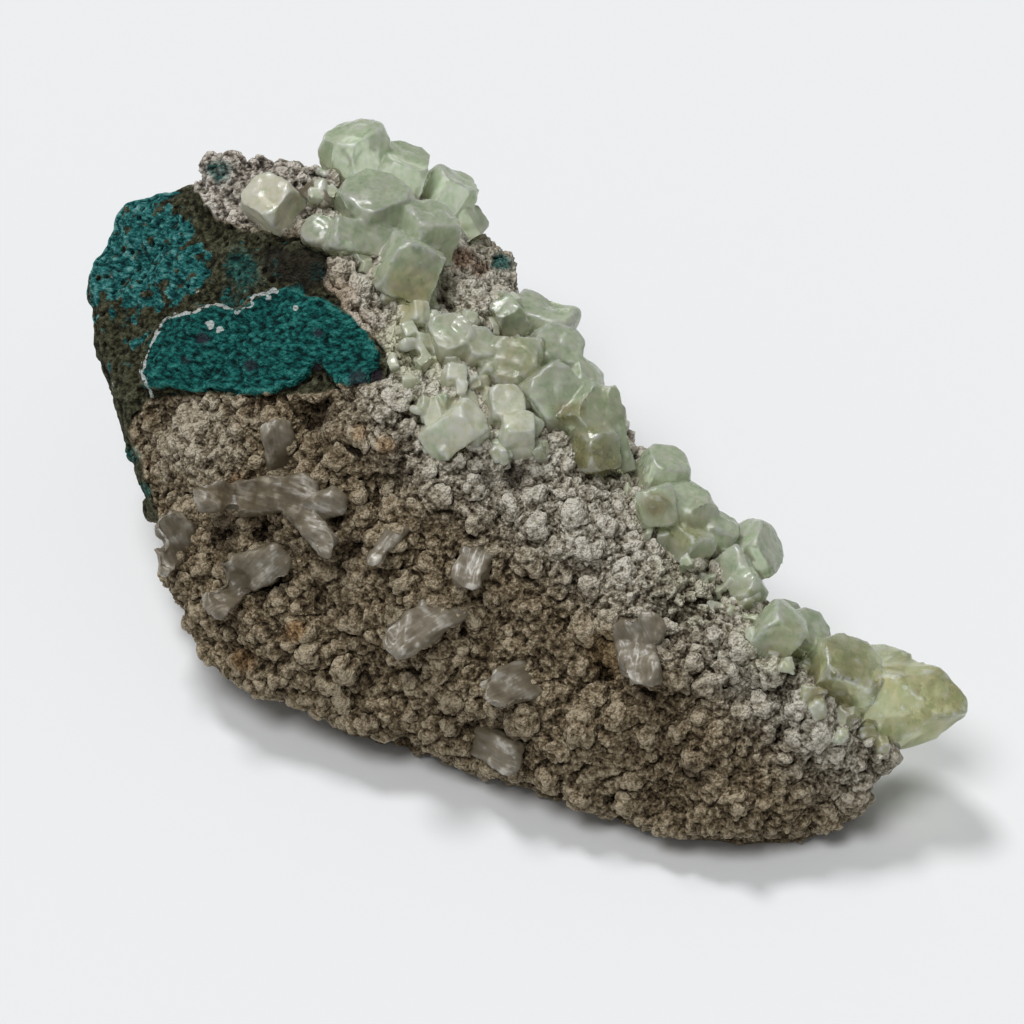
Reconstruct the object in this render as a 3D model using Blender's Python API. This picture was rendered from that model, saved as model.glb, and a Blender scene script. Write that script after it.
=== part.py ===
"""Green apophyllite crystals on a crusted piece of basalt, lying on its flat underside.

The basalt carries a crust of small chalcedony balls. Apophyllite crystals stand on its upper side, and
stilbite blades stick out of the crust. Every crystal sits in a socket of its own shape.
"""

import math
import random
from collections import namedtuple

import bmesh
import bpy
from mathutils import Matrix, Vector, noise
from mathutils.bvhtree import BVHTree

MM = 0.001

# Driving dimensions
SEEN_WIDTH = 164 * MM
CRUST_THICKNESS = 2.2 * MM
SOCKET_GAP = 0.3 * MM
ROCK_TRIANGLES = 4500
ROCK_VOXEL = 1.4 * MM
SMOOTHING_STEPS = 10

# The crust's relief: how wide and how tall its shapes are
SWELL_SIZE = 18 * MM
SWELL_HEIGHT = 1.1 * MM
KNOB_SIZE = 10 * MM
KNOB_HEIGHT = 2.6 * MM
SMALL_KNOB_SIZE = 6 * MM
SMALL_KNOB_HEIGHT = 1.5 * MM
SMALL_KNOB_SHIFT = (0.3, 0.1, 0.7)
HOLLOW_SIZE = 10 * MM
HOLLOW_DEPTH = 2.4 * MM
# The broken basalt's relief
STEP_SIZE = 8 * MM
STEP_HEIGHT = 1.1 * MM
# How far above the table the relief has its full height
FLAT_FADE = 2 * MM

# Crystals: the slope of the pyramid's faces, how unequal a prism's sides are, and the part of a crystal's
# half width that stands between its middle and the rock
PYRAMID_TILT = math.radians(60)
PRISM_SIDES = (0.88, 1.08)
CRYSTAL_STANDS = 0.35
# Blades: the same for their thickness, how unequal their sides are, and the cuts at the free end
BLADE_STANDS = 0.6
BLADE_SIDES = (0.9, 1.1)
SHOULDER_TILT = (math.radians(30), math.radians(45))
SHOULDER_CUT = 0.4
BEVEL_TILT = math.radians(35)
BEVEL_CUT = 0.6

# The photograph that places are read from: its width in pixels, and where its camera stands
PICTURE_WIDTH = 1024
PIXEL = SEEN_WIDTH / PICTURE_WIDTH
VIEW_AZIMUTH = math.radians(24)
VIEW_ELEVATION = math.radians(45)
VIEW_DISTANCE = 750 * MM
VIEW_CENTRE = Vector((1, -6, 30)) * MM
# What moves the middle of the finished piece over the origin
TO_ORIGIN = Vector((1.3, -3.8, 0)) * MM

# A place on the rock: pixels across and down in the photograph, and millimetres above the table
Seen = namedtuple("Seen", "px py height")
# A place on a hidden side: millimetres along, across and above the table
Hidden = namedtuple("Hidden", "x y height")
# A rounded rise, or a hollow where rise is negative, in millimetres
Lump = namedtuple("Lump", "px py radius rise")
# A squarish apophyllite: its middle in the photograph, sizes in millimetres, the way it points as the
# photograph shows it (right, up, towards the viewer), its turn about that, how far its corners are cut, and
# how much higher than the others it stands
Crystal = namedtuple("Crystal", "px py width length points turn corner lift", defaults=(0,))
# A flat stilbite blade, placed in the same way
Blade = namedtuple("Blade", "px py width length thickness points turn")
# An apophyllite on a hidden side, standing straight out of the rock
HiddenCrystal = namedtuple("HiddenCrystal", "x y height width length turn corner")

BODY = (
    # front foot, from left to right
    Seen(158, 584, 14),
    Seen(182, 650, 11),
    Seen(232, 694, 9),
    Seen(322, 718, 8),
    Seen(415, 741, 8),
    Seen(468, 769, 8),
    Seen(545, 796, 7),
    Seen(620, 822, 7),
    Seen(700, 842, 7),
    Seen(780, 834, 7),
    Seen(836, 826, 8),
    # right end
    Seen(876, 800, 10),
    Seen(900, 764, 15),
    Seen(914, 744, 16),
    # left end, from the foot up
    Seen(182, 556, 18),
    Seen(168, 508, 22),
    Seen(122, 430, 29),
    Seen(93, 375, 32),
    Seen(78, 320, 35),
    Seen(77, 272, 38),
    Seen(90, 234, 42),
    Seen(122, 186, 48),
    Seen(165, 181, 50),
    # broken basalt face, along its edges
    Seen(250, 395, 43),
    Seen(385, 372, 52),
    Seen(330, 262, 57),
    Seen(215, 222, 52),
    # crest between the crusted front and the crystal side
    Seen(410, 400, 51),
    Seen(520, 462, 45),
    Seen(640, 548, 39),
    Seen(735, 630, 33),
    Seen(815, 700, 26),
    Seen(862, 745, 21),
    # the front bulges between crest and foot
    Seen(210, 530, 27),
    Seen(310, 560, 31),
    Seen(410, 570, 33),
    Seen(520, 620, 29),
    Seen(640, 690, 25),
    Seen(745, 740, 20),
    Seen(820, 780, 15),
    # far edge of the crystal side
    Seen(395, 178, 54),
    Seen(448, 214, 46),
    Seen(496, 242, 40),
    Seen(520, 288, 34),
    Seen(540, 378, 29),
    Seen(584, 455, 27),
    Seen(640, 508, 25),
    Seen(722, 594, 24),
    Seen(795, 655, 20),
    Seen(868, 690, 17),
    # back, from left to right
    Hidden(-73, 10, 34),
    Hidden(-61, 34, 30),
    Hidden(-39, 44, 24),
    Hidden(-69, 14, 14),
    Hidden(-65, 28, 8),
    Hidden(-37, 42, 7),
    Hidden(-16, 39, 7),
    Hidden(-1, 28, 7),
    Hidden(14, 17, 7),
    Hidden(40, 1, 7),
    Hidden(61, -8, 7),
    Hidden(71, -16, 8),
    # underside, a little below the flat that it rests on
    Hidden(-60, 0, -3),
    Hidden(-55, -9, -3),
    Hidden(-45, -21, -3),
    Hidden(-10, -31, -3),
    Hidden(40, -31, -3),
    Hidden(58, -28, -3),
    Hidden(63, -18, -3),
    Hidden(36, 0, -3),
    Hidden(0, 24, -3),
    Hidden(-35, 34, -3),
    Hidden(-58, 20, -3),
)

# Raised block behind the broken basalt face
SHOULDER = (
    Seen(186, 200, 50),
    Seen(188, 162, 55),
    Seen(203, 148, 57),
    Seen(250, 150, 59),
    Seen(335, 150, 60),
    Seen(330, 250, 56),
    Seen(230, 228, 52),
    Seen(385, 200, 54),
    Hidden(-59, 28, 44),
    Hidden(-37, 32, 40),
    Hidden(-59, 8, 20),
    Hidden(-19, 8, 20),
    Hidden(-29, 28, 20),
)

# Broken basalt, as an outline of pixels: the crust ends around it, so it lies lower
BROKEN_FACE = (
    (40, 285),
    (80, 190),
    (140, 150),
    (186, 178),
    (215, 222),
    (300, 240),
    (328, 258),
    (320, 278),
    (350, 312),
    (388, 352),
    (388, 378),
    (350, 386),
    (270, 396),
    (205, 392),
    (150, 398),
    (128, 430),
    (160, 520),
    (90, 540),
    (50, 400),
)

LUMPS = (
    Lump(190, 448, 12, 4.0),
    Lump(235, 640, 9, 2.0),
    Lump(300, 640, 10, 1.5),
    Lump(350, 440, 8, 1.5),
    Lump(430, 500, 9, 1.5),
    Lump(574, 457, 3.5, 2.5),
    Lump(560, 540, 9, 1.5),
    Lump(590, 727, 8, 3.0),
    Lump(700, 665, 9, 1.5),
    Lump(720, 760, 10, 2.0),
    Lump(812, 802, 5, 2.5),
    Lump(460, 255, 8, 2.0),
    Lump(480, 300, 8, 1.5),
    Lump(150, 538, 8, -2.5),
    Lump(205, 512, 4, -3.0),
    Lump(306, 418, 4, -3.0),
    Lump(330, 585, 5, -2.0),
    Lump(275, 575, 5, -2.5),
    Lump(500, 490, 5, -2.0),
    Lump(420, 540, 5, -1.5),
    Lump(610, 668, 7, -4.0),
    Lump(530, 665, 5, -1.5),
    Lump(500, 750, 7, -3.0),
    Lump(610, 800, 4, -3.0),
    Lump(760, 695, 5, -2.0),
    Lump(400, 700, 6, -1.5),
)


def view_axes():
    """Right, up and towards the viewer, as the photograph shows them."""
    sin_a, cos_a = math.sin(VIEW_AZIMUTH), math.cos(VIEW_AZIMUTH)
    sin_e, cos_e = math.sin(VIEW_ELEVATION), math.cos(VIEW_ELEVATION)
    right = Vector((cos_a, sin_a, 0))
    up = Vector((-sin_a * sin_e, cos_a * sin_e, cos_e))
    toward = Vector((sin_a * cos_e, -cos_a * cos_e, sin_e))
    return right, up, toward


RIGHT, UP, TOWARD = view_axes()
EYE = VIEW_CENTRE + TOWARD * VIEW_DISTANCE

# Apophyllite: the nodes, and the crystals that have grown together in each
APOPHYLLITE = {
    "apophyllite_summit": (
        Crystal(356, 156, 9.0, 8.6, (-0.15, 0.85, 0.45), 38, 0.3),
        Crystal(401, 173, 8.0, 7.8, (0.35, 0.75, 0.5), 12, 0.3),
        Crystal(374, 211, 10.2, 8.5, (0.0, 0.75, 0.65), 35, 0.3),
        Crystal(426, 238, 8.0, 9.5, (0.3, 0.8, 0.5), 42, 0.3),
        Crystal(364, 241, 5.5, 12.0, (-0.93, 0.25, 0.35), 15, 0.3),
        Crystal(410, 272, 9.0, 8.0, (0.2, -0.2, 0.9), 20, 0.2),
        Crystal(322, 232, 5.0, 5.5, (-0.3, 0.3, 0.9), 30, 0.3),
    ),
    "apophyllite_summit_far": (
        Crystal(447, 199, 7.4, 8.4, (0.5, 0.8, 0.3), 35, 0.3),
        Crystal(467, 224, 4.8, 5.5, (0.7, 0.3, 0.5), 15, 0.3),
    ),
    "apophyllite_pale_block": (Crystal(272, 204, 7.6, 6.5, (-0.3, 0.5, 0.8), 25, 0.3),),
    "apophyllite_ridge_top": (
        Crystal(543, 323, 6.8, 10.0, (0.93, -0.3, 0.3), 35, 0.35),
        Crystal(509, 317, 5.0, 6.0, (-0.2, 0.6, 0.7), 15, 0.3),
    ),
    "apophyllite_ridge": (
        Crystal(452, 340, 6.5, 6.0, (0.0, 0.5, 0.85), 20, 0.3),
        Crystal(478, 350, 5.0, 5.0, (0.3, 0.5, 0.8), 40, 0.3),
        Crystal(512, 362, 9.0, 7.0, (-0.1, 0.1, 1.0), 42, 0.5),
        Crystal(555, 355, 7.5, 7.0, (0.3, 0.5, 0.75), 20, 0.35),
        Crystal(578, 384, 6.0, 6.5, (0.7, 0.5, 0.4), 40, 0.3),
        Crystal(552, 396, 8.5, 9.0, (0.2, 0.1, 0.9), 10, 0.3),
        Crystal(587, 417, 8.8, 8.6, (0.55, 0.15, 0.75), 32, 0.3),
        Crystal(597, 451, 6.5, 6.5, (0.5, -0.1, 0.8), 15, 0.3),
        Crystal(617, 428, 3.2, 14.5, (-0.2, 0.97, 0.2), 25, 0.6, 2.5),
        Crystal(617, 448, 3.0, 5.6, (-0.3, 0.9, 0.4), 40, 0.3),
    ),
    "apophyllite_crust_middle": (
        Crystal(505, 408, 5.5, 6.0, (0.2, 0.4, 0.9), 30, 0.3),
        Crystal(516, 434, 5.0, 6.5, (0.1, 0.6, 0.75), 15, 0.3),
    ),
    "apophyllite_crust_lower": (Crystal(454, 430, 5.5, 9.5, (0.7, 0.45, 0.55), 10, 0.3),),
    "apophyllite_middle": (
        Crystal(662, 476, 6.8, 7.4, (0.35, 0.75, 0.55), 30, 0.3),
        Crystal(655, 508, 6.5, 6.0, (0.1, 0.0, 0.95), 10, 0.3),
        Crystal(685, 513, 6.6, 9.0, (0.6, -0.35, 0.7), 40, 0.3),
        Crystal(715, 534, 5.5, 6.2, (0.5, 0.6, 0.6), 15, 0.3),
        Crystal(750, 554, 7.8, 8.4, (0.8, 0.25, 0.5), 30, 0.3),
        Crystal(685, 543, 5.5, 7.5, (0.6, -0.5, 0.6), 25, 0.3),
        Crystal(741, 579, 5.2, 8.5, (0.4, -0.7, 0.5), 10, 0.3),
    ),
    "apophyllite_lower_small": (Crystal(776, 633, 6.8, 8.5, (0.6, 0.6, 0.5), 20, 0.35),),
    "apophyllite_pointed_end": (
        Crystal(801, 641, 7.2, 7.4, (0.6, 0.5, 0.6), 40, 0.3),
        Crystal(839, 676, 9.6, 9.0, (0.45, 0.6, 0.65), 25, 0.25),
        Crystal(915, 699, 13.0, 17.0, (0.97, -0.1, 0.2), 20, 1.0),
    ),
    "apophyllite_back_upper": (
        HiddenCrystal(-43, 39, 37, 6.5, 7.0, 30, 0.3),
        HiddenCrystal(-38, 40, 36, 5.5, 6.0, 5, 0.3),
    ),
    "apophyllite_back_high": (
        HiddenCrystal(-34, 46, 28, 8.5, 8.5, 10, 0.3),
        HiddenCrystal(-27, 45, 23, 7.0, 8.0, 40, 0.35),
        HiddenCrystal(-38, 46, 20, 6.0, 7.0, 25, 0.3),
    ),
    "apophyllite_back_middle": (
        HiddenCrystal(-6, 36, 20, 7.5, 8.5, 15, 0.3),
        HiddenCrystal(1, 31, 17, 6.0, 7.0, 35, 0.3),
        HiddenCrystal(-9, 37, 14, 5.5, 6.5, 0, 0.35),
        HiddenCrystal(-3, 32, 24, 5.0, 5.5, 15, 0.3),
        HiddenCrystal(1, 31, 23, 4.5, 5.0, 40, 0.35),
    ),
    "apophyllite_back_low": (
        HiddenCrystal(18, 17, 14, 7.0, 8.0, 30, 0.3),
        HiddenCrystal(24, 13, 12, 5.5, 6.5, 5, 0.3),
        HiddenCrystal(27, 12, 17, 5.5, 6.0, 10, 0.3),
    ),
    "apophyllite_back_end": (
        HiddenCrystal(44, 1, 11, 6.0, 7.0, 20, 0.35),
        HiddenCrystal(48, -1, 11, 5.0, 6.0, 40, 0.3),
    ),
}

# Stilbite: single blades, and blades that have grown together
STILBITE = {
    "stilbite_white_blade": (Blade(317, 197, 3.3, 5.2, 2.2, (0.4, -0.7, 0.6), 20),),
    "stilbite_upright_blade": (Blade(279, 447, 4.5, 9.5, 2.5, (-0.1, 0.8, 0.6), 10),),
    "stilbite_forked_fan": (
        Blade(236, 497, 4.5, 14.0, 2.5, (-0.9, 0.05, 0.4), 20),
        Blade(278, 494, 5.0, 14.0, 3.0, (0.9, 0.1, 0.4), -10),
        Blade(318, 507, 4.0, 10.0, 2.5, (0.8, 0.3, 0.5), 25),
        Blade(318, 532, 3.5, 10.0, 2.5, (0.5, -0.7, 0.5), 10),
    ),
    "stilbite_left_blade": (
        Blade(176, 536, 5.0, 11.0, 2.5, (-0.45, 0.65, 0.6), 20),
        Blade(174, 556, 4.5, 8.0, 2.5, (-0.6, -0.2, 0.7), 0),
    ),
    "stilbite_flat_blades": (
        Blade(260, 569, 5.5, 13.0, 2.8, (0.85, 0.25, 0.45), 10),
        Blade(230, 595, 4.5, 9.5, 2.8, (-0.6, -0.5, 0.6), 4),
    ),
    "stilbite_thin_blade": (Blade(388, 542, 2.6, 11.5, 1.8, (-0.6, -0.65, 0.45), 30),),
    "stilbite_wedge_blade": (Blade(474, 565, 5.0, 9.5, 2.5, (-0.25, -0.75, 0.6), 15),),
    "stilbite_great_blade": (Blade(428, 622, 6.0, 16.5, 2.8, (-0.8, -0.45, 0.4), 20),),
    "stilbite_bright_blade": (Blade(508, 688, 6.0, 9.5, 2.5, (-0.75, -0.3, 0.6), 15),),
    "stilbite_hollow_blades": (
        Blade(640, 630, 5.0, 8.5, 2.5, (0.7, 0.3, 0.6), 10),
        Blade(640, 664, 5.5, 10.0, 4.0, (0.1, -0.65, 0.75), 5),
    ),
    "stilbite_lower_blade": (Blade(500, 750, 5.0, 10.0, 3.0, (0.6, -0.3, 0.7), 20),),
}


def sight_line(px, py):
    """Direction from the eye through a pixel of the photograph."""
    across = (px - PICTURE_WIDTH / 2) * PIXEL
    rise = (PICTURE_WIDTH / 2 - py) * PIXEL
    return (VIEW_CENTRE + RIGHT * across + UP * rise - EYE).normalized()


def pixel_of(point):
    """Where the photograph shows a point."""
    ray = point - EYE
    scale = VIEW_DISTANCE / -ray.dot(TOWARD) / PIXEL
    return PICTURE_WIDTH / 2 + ray.dot(RIGHT) * scale, PICTURE_WIDTH / 2 - ray.dot(UP) * scale


def place(spot):
    """The point of a Seen or Hidden place."""
    if isinstance(spot, Hidden):
        return Vector(spot) * MM
    line = sight_line(spot.px, spot.py)
    return EYE + line * ((spot.height * MM - EYE.z) / line.z)


def add_object(name, bm):
    mesh = bpy.data.meshes.new(name)
    bm.to_mesh(mesh)
    bm.free()
    obj = bpy.data.objects.new(name, mesh)
    bpy.context.scene.collection.objects.link(obj)
    return obj


def apply_modifiers(obj):
    """Turn what the modifiers make into the object's own mesh."""
    graph = bpy.context.evaluated_depsgraph_get()
    mesh = bpy.data.meshes.new_from_object(obj.evaluated_get(graph))
    obj.modifiers.clear()
    obj.data = mesh


def remove(objects):
    for obj in objects:
        bpy.data.objects.remove(obj)


def hull(name, points):
    """The convex body around some points."""
    bm = bmesh.new()
    for point in points:
        bm.verts.new(point)
    made = bmesh.ops.convex_hull(bm, input=bm.verts)
    spare = {g for g in made["geom_interior"] + made["geom_unused"] if isinstance(g, bmesh.types.BMVert)}
    bmesh.ops.delete(bm, geom=list(spare), context="VERTS")
    return add_object(name, bm)


def joined(name, objects):
    """One object that holds the meshes of several."""
    bm = bmesh.new()
    for obj in objects:
        bm.from_mesh(obj.data)
    remove(objects)
    return add_object(name, bm)


def cut_body(name, planes, size):
    """The convex body inside some planes, each a point and an outward normal."""
    bm = bmesh.new()
    bmesh.ops.create_cube(bm, size=size)
    for point, normal in planes:
        everything = bm.verts[:] + bm.edges[:] + bm.faces[:]
        made = bmesh.ops.bisect_plane(
            bm, geom=everything, plane_co=point, plane_no=normal, clear_outer=True
        )
        rim = [g for g in made["geom_cut"] if isinstance(g, bmesh.types.BMEdge)]
        if rim:
            bmesh.ops.edgeloop_fill(bm, edges=rim)
    bmesh.ops.recalc_face_normals(bm, faces=bm.faces)
    return add_object(name, bm)


def inside_distance(px, py, outline):
    """Pixels from a point to an outline, positive inside it."""
    inside = False
    nearest = math.inf
    for (ax, ay), (bx, by) in zip(outline, outline[1:] + outline[:1]):
        if (ay > py) != (by > py) and px < ax + (py - ay) * (bx - ax) / (by - ay):
            inside = not inside
        along = ((px - ax) * (bx - ax) + (py - ay) * (by - ay)) / ((bx - ax) ** 2 + (by - ay) ** 2)
        along = min(max(along, 0), 1)
        nearest = min(nearest, math.hypot(px - ax - along * (bx - ax), py - ay - along * (by - ay)))
    return nearest if inside else -nearest


def ease(value, low, high):
    """0 below low, 1 above high, and smooth between."""
    t = min(max((value - low) / (high - low), 0), 1)
    return t * t * (3 - 2 * t)


def knobs(point, size):
    """Rounded knobs packed side by side, from 0 between them to 1 on top."""
    near = noise.voronoi(point / size)[0][0]
    return math.sqrt(max(1 - near * near * 1.6, 0))


def relief(point, lumps):
    """How far the rock stands out of its plain body at a point."""
    px, py = pixel_of(point)
    broken = ease(inside_distance(px, py, BROKEN_FACE), -5, 3)
    swell = noise.fractal(point / SWELL_SIZE, 1.0, 2.0, 2) * SWELL_HEIGHT
    crust = knobs(point, KNOB_SIZE) * KNOB_HEIGHT
    crust += knobs(point + Vector(SMALL_KNOB_SHIFT), SMALL_KNOB_SIZE) * SMALL_KNOB_HEIGHT
    hollows = ease(noise.noise(point / HOLLOW_SIZE), 0.2, 0.5) * HOLLOW_DEPTH
    steps = noise.fractal(point / STEP_SIZE, 0.8, 2.0, 3) * STEP_HEIGHT
    bumps = sum(rise * ease(-(point - centre).length, -radius, 0) for centre, radius, rise in lumps)
    plain = steps - CRUST_THICKNESS / 2
    coated = swell + crust - hollows - CRUST_THICKNESS + bumps
    return (plain * broken + coated * (1 - broken)) * ease(point.z, -FLAT_FADE / 2, FLAT_FADE)


def surface_of(obj):
    bm = bmesh.new()
    bm.from_mesh(obj.data)
    tree = BVHTree.FromBMesh(bm)
    bm.free()
    return tree


def voxels(rock):
    """One even skin around everything in the mesh."""
    remesh = rock.modifiers.new("Remesh", "REMESH")
    remesh.mode = "VOXEL"
    remesh.voxel_size = ROCK_VOXEL


def build_rock():
    """The rock before its sockets are cut."""
    parts = [hull("body", [place(s) for s in BODY]), hull("shoulder", [place(s) for s in SHOULDER])]
    rock = joined("basalt_matrix", parts)
    voxels(rock)
    smooth = rock.modifiers.new("Smooth", "SMOOTH")
    smooth.iterations = SMOOTHING_STEPS
    apply_modifiers(rock)
    tree = surface_of(rock)
    lumps = []
    for lump in LUMPS:
        hit = tree.ray_cast(EYE, sight_line(lump.px, lump.py))[0]
        lumps.append((hit, lump.radius * MM, lump.rise * MM))
    mesh = rock.data
    moved = [v.co + v.normal * relief(v.co, lumps) for v in mesh.vertices]
    for vertex, point in zip(mesh.vertices, moved):
        vertex.co = point
    mesh.update()
    voxels(rock)
    apply_modifiers(rock)
    decimate = rock.modifiers.new("Decimate", "DECIMATE")
    decimate.ratio = ROCK_TRIANGLES / (2 * len(rock.data.polygons))
    apply_modifiers(rock)
    return flat_bottomed(rock)


def flat_bottomed(rock):
    """The rock above the table, closed by a flat underside."""
    bm = bmesh.new()
    bm.from_mesh(rock.data)
    everything = bm.verts[:] + bm.edges[:] + bm.faces[:]
    made = bmesh.ops.bisect_plane(
        bm, geom=everything, plane_co=(0, 0, 0), plane_no=(0, 0, -1), clear_outer=True
    )
    rim = [g for g in made["geom_cut"] if isinstance(g, bmesh.types.BMEdge)]
    bmesh.ops.holes_fill(bm, edges=rim, sides=0)
    bmesh.ops.recalc_face_normals(bm, faces=bm.faces)
    bm.to_mesh(rock.data)
    bm.free()
    return rock


def turned_axes(along, turn):
    """Three directions at right angles: the last is the way a crystal points, the first faces the viewer."""
    along = along.normalized()
    front = (TOWARD - along * TOWARD.dot(along)).normalized()
    front = Matrix.Rotation(math.radians(turn), 3, along) @ front
    return front, along.cross(front), along


def middle_of(spot, rock, reach):
    """Where the sight line through a crystal's pixel first comes within reach of the rock, or nearest it."""
    line = sight_line(spot.px, spot.py)
    nearest, found = math.inf, None
    for step in range(600):
        point = EYE + line * (VIEW_DISTANCE + (step / 4 - 75) * MM)
        gap = rock.find_nearest(point)[3]
        if gap < reach:
            return point
        if gap < nearest:
            nearest, found = gap, point
    return found


def stand(crystal, rock, reach):
    """A crystal's middle, and its three directions."""
    if isinstance(crystal, HiddenCrystal):
        foot, normal = rock.find_nearest(Vector(crystal[:3]) * MM)[:2]
        return foot + normal * reach, turned_axes(normal, crystal.turn)
    if isinstance(crystal, Crystal):
        reach += crystal.lift * MM
    along = RIGHT * crystal.points[0] + UP * crystal.points[1] + TOWARD * crystal.points[2]
    return middle_of(crystal, rock, reach), turned_axes(along, crystal.turn)


def crystal_body(name, crystal, rock, grow, seed):
    """A tetragonal prism with a flat end, its corners cut by the pyramid's faces."""
    rng = random.Random(seed)
    half_width, half_length = crystal.width * MM / 2, crystal.length * MM / 2
    middle, (side, across, along) = stand(crystal, rock, half_width * CRYSTAL_STANDS)
    planes = []
    for k in range(4):
        angle = math.pi / 2 * k
        flat = side * math.cos(angle) + across * math.sin(angle)
        planes.append((flat * (half_width * rng.uniform(*PRISM_SIDES) + grow), flat))
        diagonal = side * math.cos(angle + math.pi / 4) + across * math.sin(angle + math.pi / 4)
        slope = diagonal * math.sin(PYRAMID_TILT) + along * math.cos(PYRAMID_TILT)
        tip = half_length * math.cos(PYRAMID_TILT)
        corner = half_width * math.sqrt(2) * math.sin(PYRAMID_TILT)
        planes.append((slope * (tip + corner * (1 - crystal.corner * rng.uniform(0.7, 1)) + grow), slope))
    planes.append((along * (half_length + grow), along))
    planes.append((-along * (half_length + grow), -along))
    body = cut_body(name, planes, 4 * (crystal.width + crystal.length) * MM)
    body.data.transform(Matrix.Translation(middle))
    return body


def blade_body(name, blade, rock, grow, seed):
    """A flat blade that narrows to an edge at its free end."""
    rng = random.Random(seed)
    half_width, half_length, half_depth = (v * MM / 2 for v in (blade.width, blade.length, blade.thickness))
    middle, (face, across, along) = stand(blade, rock, half_depth * BLADE_STANDS)
    planes = [(along * (half_length + grow), along), (-along * (half_length + grow), -along)]
    for sign in (-1, 1):
        planes.append((face * sign * (half_depth + grow), face * sign))
        planes.append((across * sign * (half_width * rng.uniform(*BLADE_SIDES) + grow), across * sign))
        tilt = rng.uniform(*SHOULDER_TILT)
        shoulder = across * sign * math.sin(tilt) + along * math.cos(tilt)
        edge = half_width * math.sin(tilt) + half_length * math.cos(tilt)
        planes.append((shoulder * (edge - half_width * SHOULDER_CUT + grow), shoulder))
        bevel = face * sign * math.cos(BEVEL_TILT) + along * math.sin(BEVEL_TILT)
        edge = half_depth * math.cos(BEVEL_TILT) + half_length * math.sin(BEVEL_TILT)
        planes.append((bevel * (edge - half_depth * BEVEL_CUT + grow), bevel))
    body = cut_body(name, planes, 4 * (blade.width + blade.length) * MM)
    body.data.transform(Matrix.Translation(middle))
    return body


def united(name, bodies):
    """One solid out of bodies that overlap."""
    first, rest = bodies[0], bodies[1:]
    for body in rest:
        union = first.modifiers.new("Union", "BOOLEAN")
        union.operation = "UNION"
        union.solver = "EXACT"
        union.object = body
    apply_modifiers(first)
    remove(rest)
    first.name = name
    return first


def keep_largest(obj):
    """Drop the crumbs that cutting leaves loose."""
    bm = bmesh.new()
    bm.from_mesh(obj.data)
    islands, seen = [], set()
    for start in bm.verts:
        if start in seen:
            continue
        island, stack = [], [start]
        seen.add(start)
        while stack:
            vert = stack.pop()
            island.append(vert)
            for edge in vert.link_edges:
                other = edge.other_vert(vert)
                if other not in seen:
                    seen.add(other)
                    stack.append(other)
        islands.append(island)
    islands.sort(key=len)
    bmesh.ops.delete(bm, geom=[v for island in islands[:-1] for v in island], context="VERTS")
    bm.to_mesh(obj.data)
    bm.free()


def material(name, colour, roughness, transmission=0.0):
    made = bpy.data.materials.new(name)
    made.use_nodes = True
    shader = made.node_tree.nodes["Principled BSDF"]
    shader.inputs["Base Color"].default_value = (*colour, 1)
    shader.inputs["Roughness"].default_value = roughness
    shader.inputs["Metallic"].default_value = 0
    shader.inputs["Transmission Weight"].default_value = transmission
    made.diffuse_color = (*colour, 1)
    return made


def main():
    for obj in list(bpy.data.objects):
        bpy.data.objects.remove(obj)

    rock = build_rock()
    rock.data.materials.append(material("crusted basalt", (0.42, 0.38, 0.31), 0.85))
    surface = surface_of(rock)

    green = material("apophyllite", (0.55, 0.66, 0.53), 0.15, 0.7)
    white = material("stilbite", (0.72, 0.70, 0.65), 0.3, 0.3)
    cutters = []
    for kinds, build, finish in ((APOPHYLLITE, crystal_body, green), (STILBITE, blade_body, white)):
        for node, group in kinds.items():
            bodies = []
            for index, crystal in enumerate(group):
                seed = f"{node} {index}"
                bodies.append(build(node, crystal, surface, 0, seed))
                cutters.append(build("socket", crystal, surface, SOCKET_GAP, seed))
            solid = united(node, bodies)
            solid.data.materials.clear()
            solid.data.materials.append(finish)

    sockets = joined("sockets", cutters)
    sockets.hide_render = True
    cut = rock.modifiers.new("Sockets", "BOOLEAN")
    cut.operation = "DIFFERENCE"
    cut.solver = "EXACT"
    cut.use_self = True
    cut.object = sockets
    apply_modifiers(rock)
    remove([sockets])
    keep_largest(rock)
    for obj in bpy.data.objects:
        obj.data.transform(Matrix.Translation(TO_ORIGIN))


main()
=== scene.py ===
"""Looks of the green apophyllite on its crusted basalt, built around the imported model.

The rock's skin is one fine surface around the model's stone. Rounded heads of crust are joined to it, and
lumps, buds and grains are pushed out of it. The crystals and blades are the model's own, with their edges
rounded and their faces worked over.
"""

import math
import random
from collections import namedtuple
from functools import reduce

import bmesh
import bpy
import numpy as np
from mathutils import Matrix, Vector
from mathutils.bvhtree import BVHTree
from mathutils.kdtree import KDTree

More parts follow.
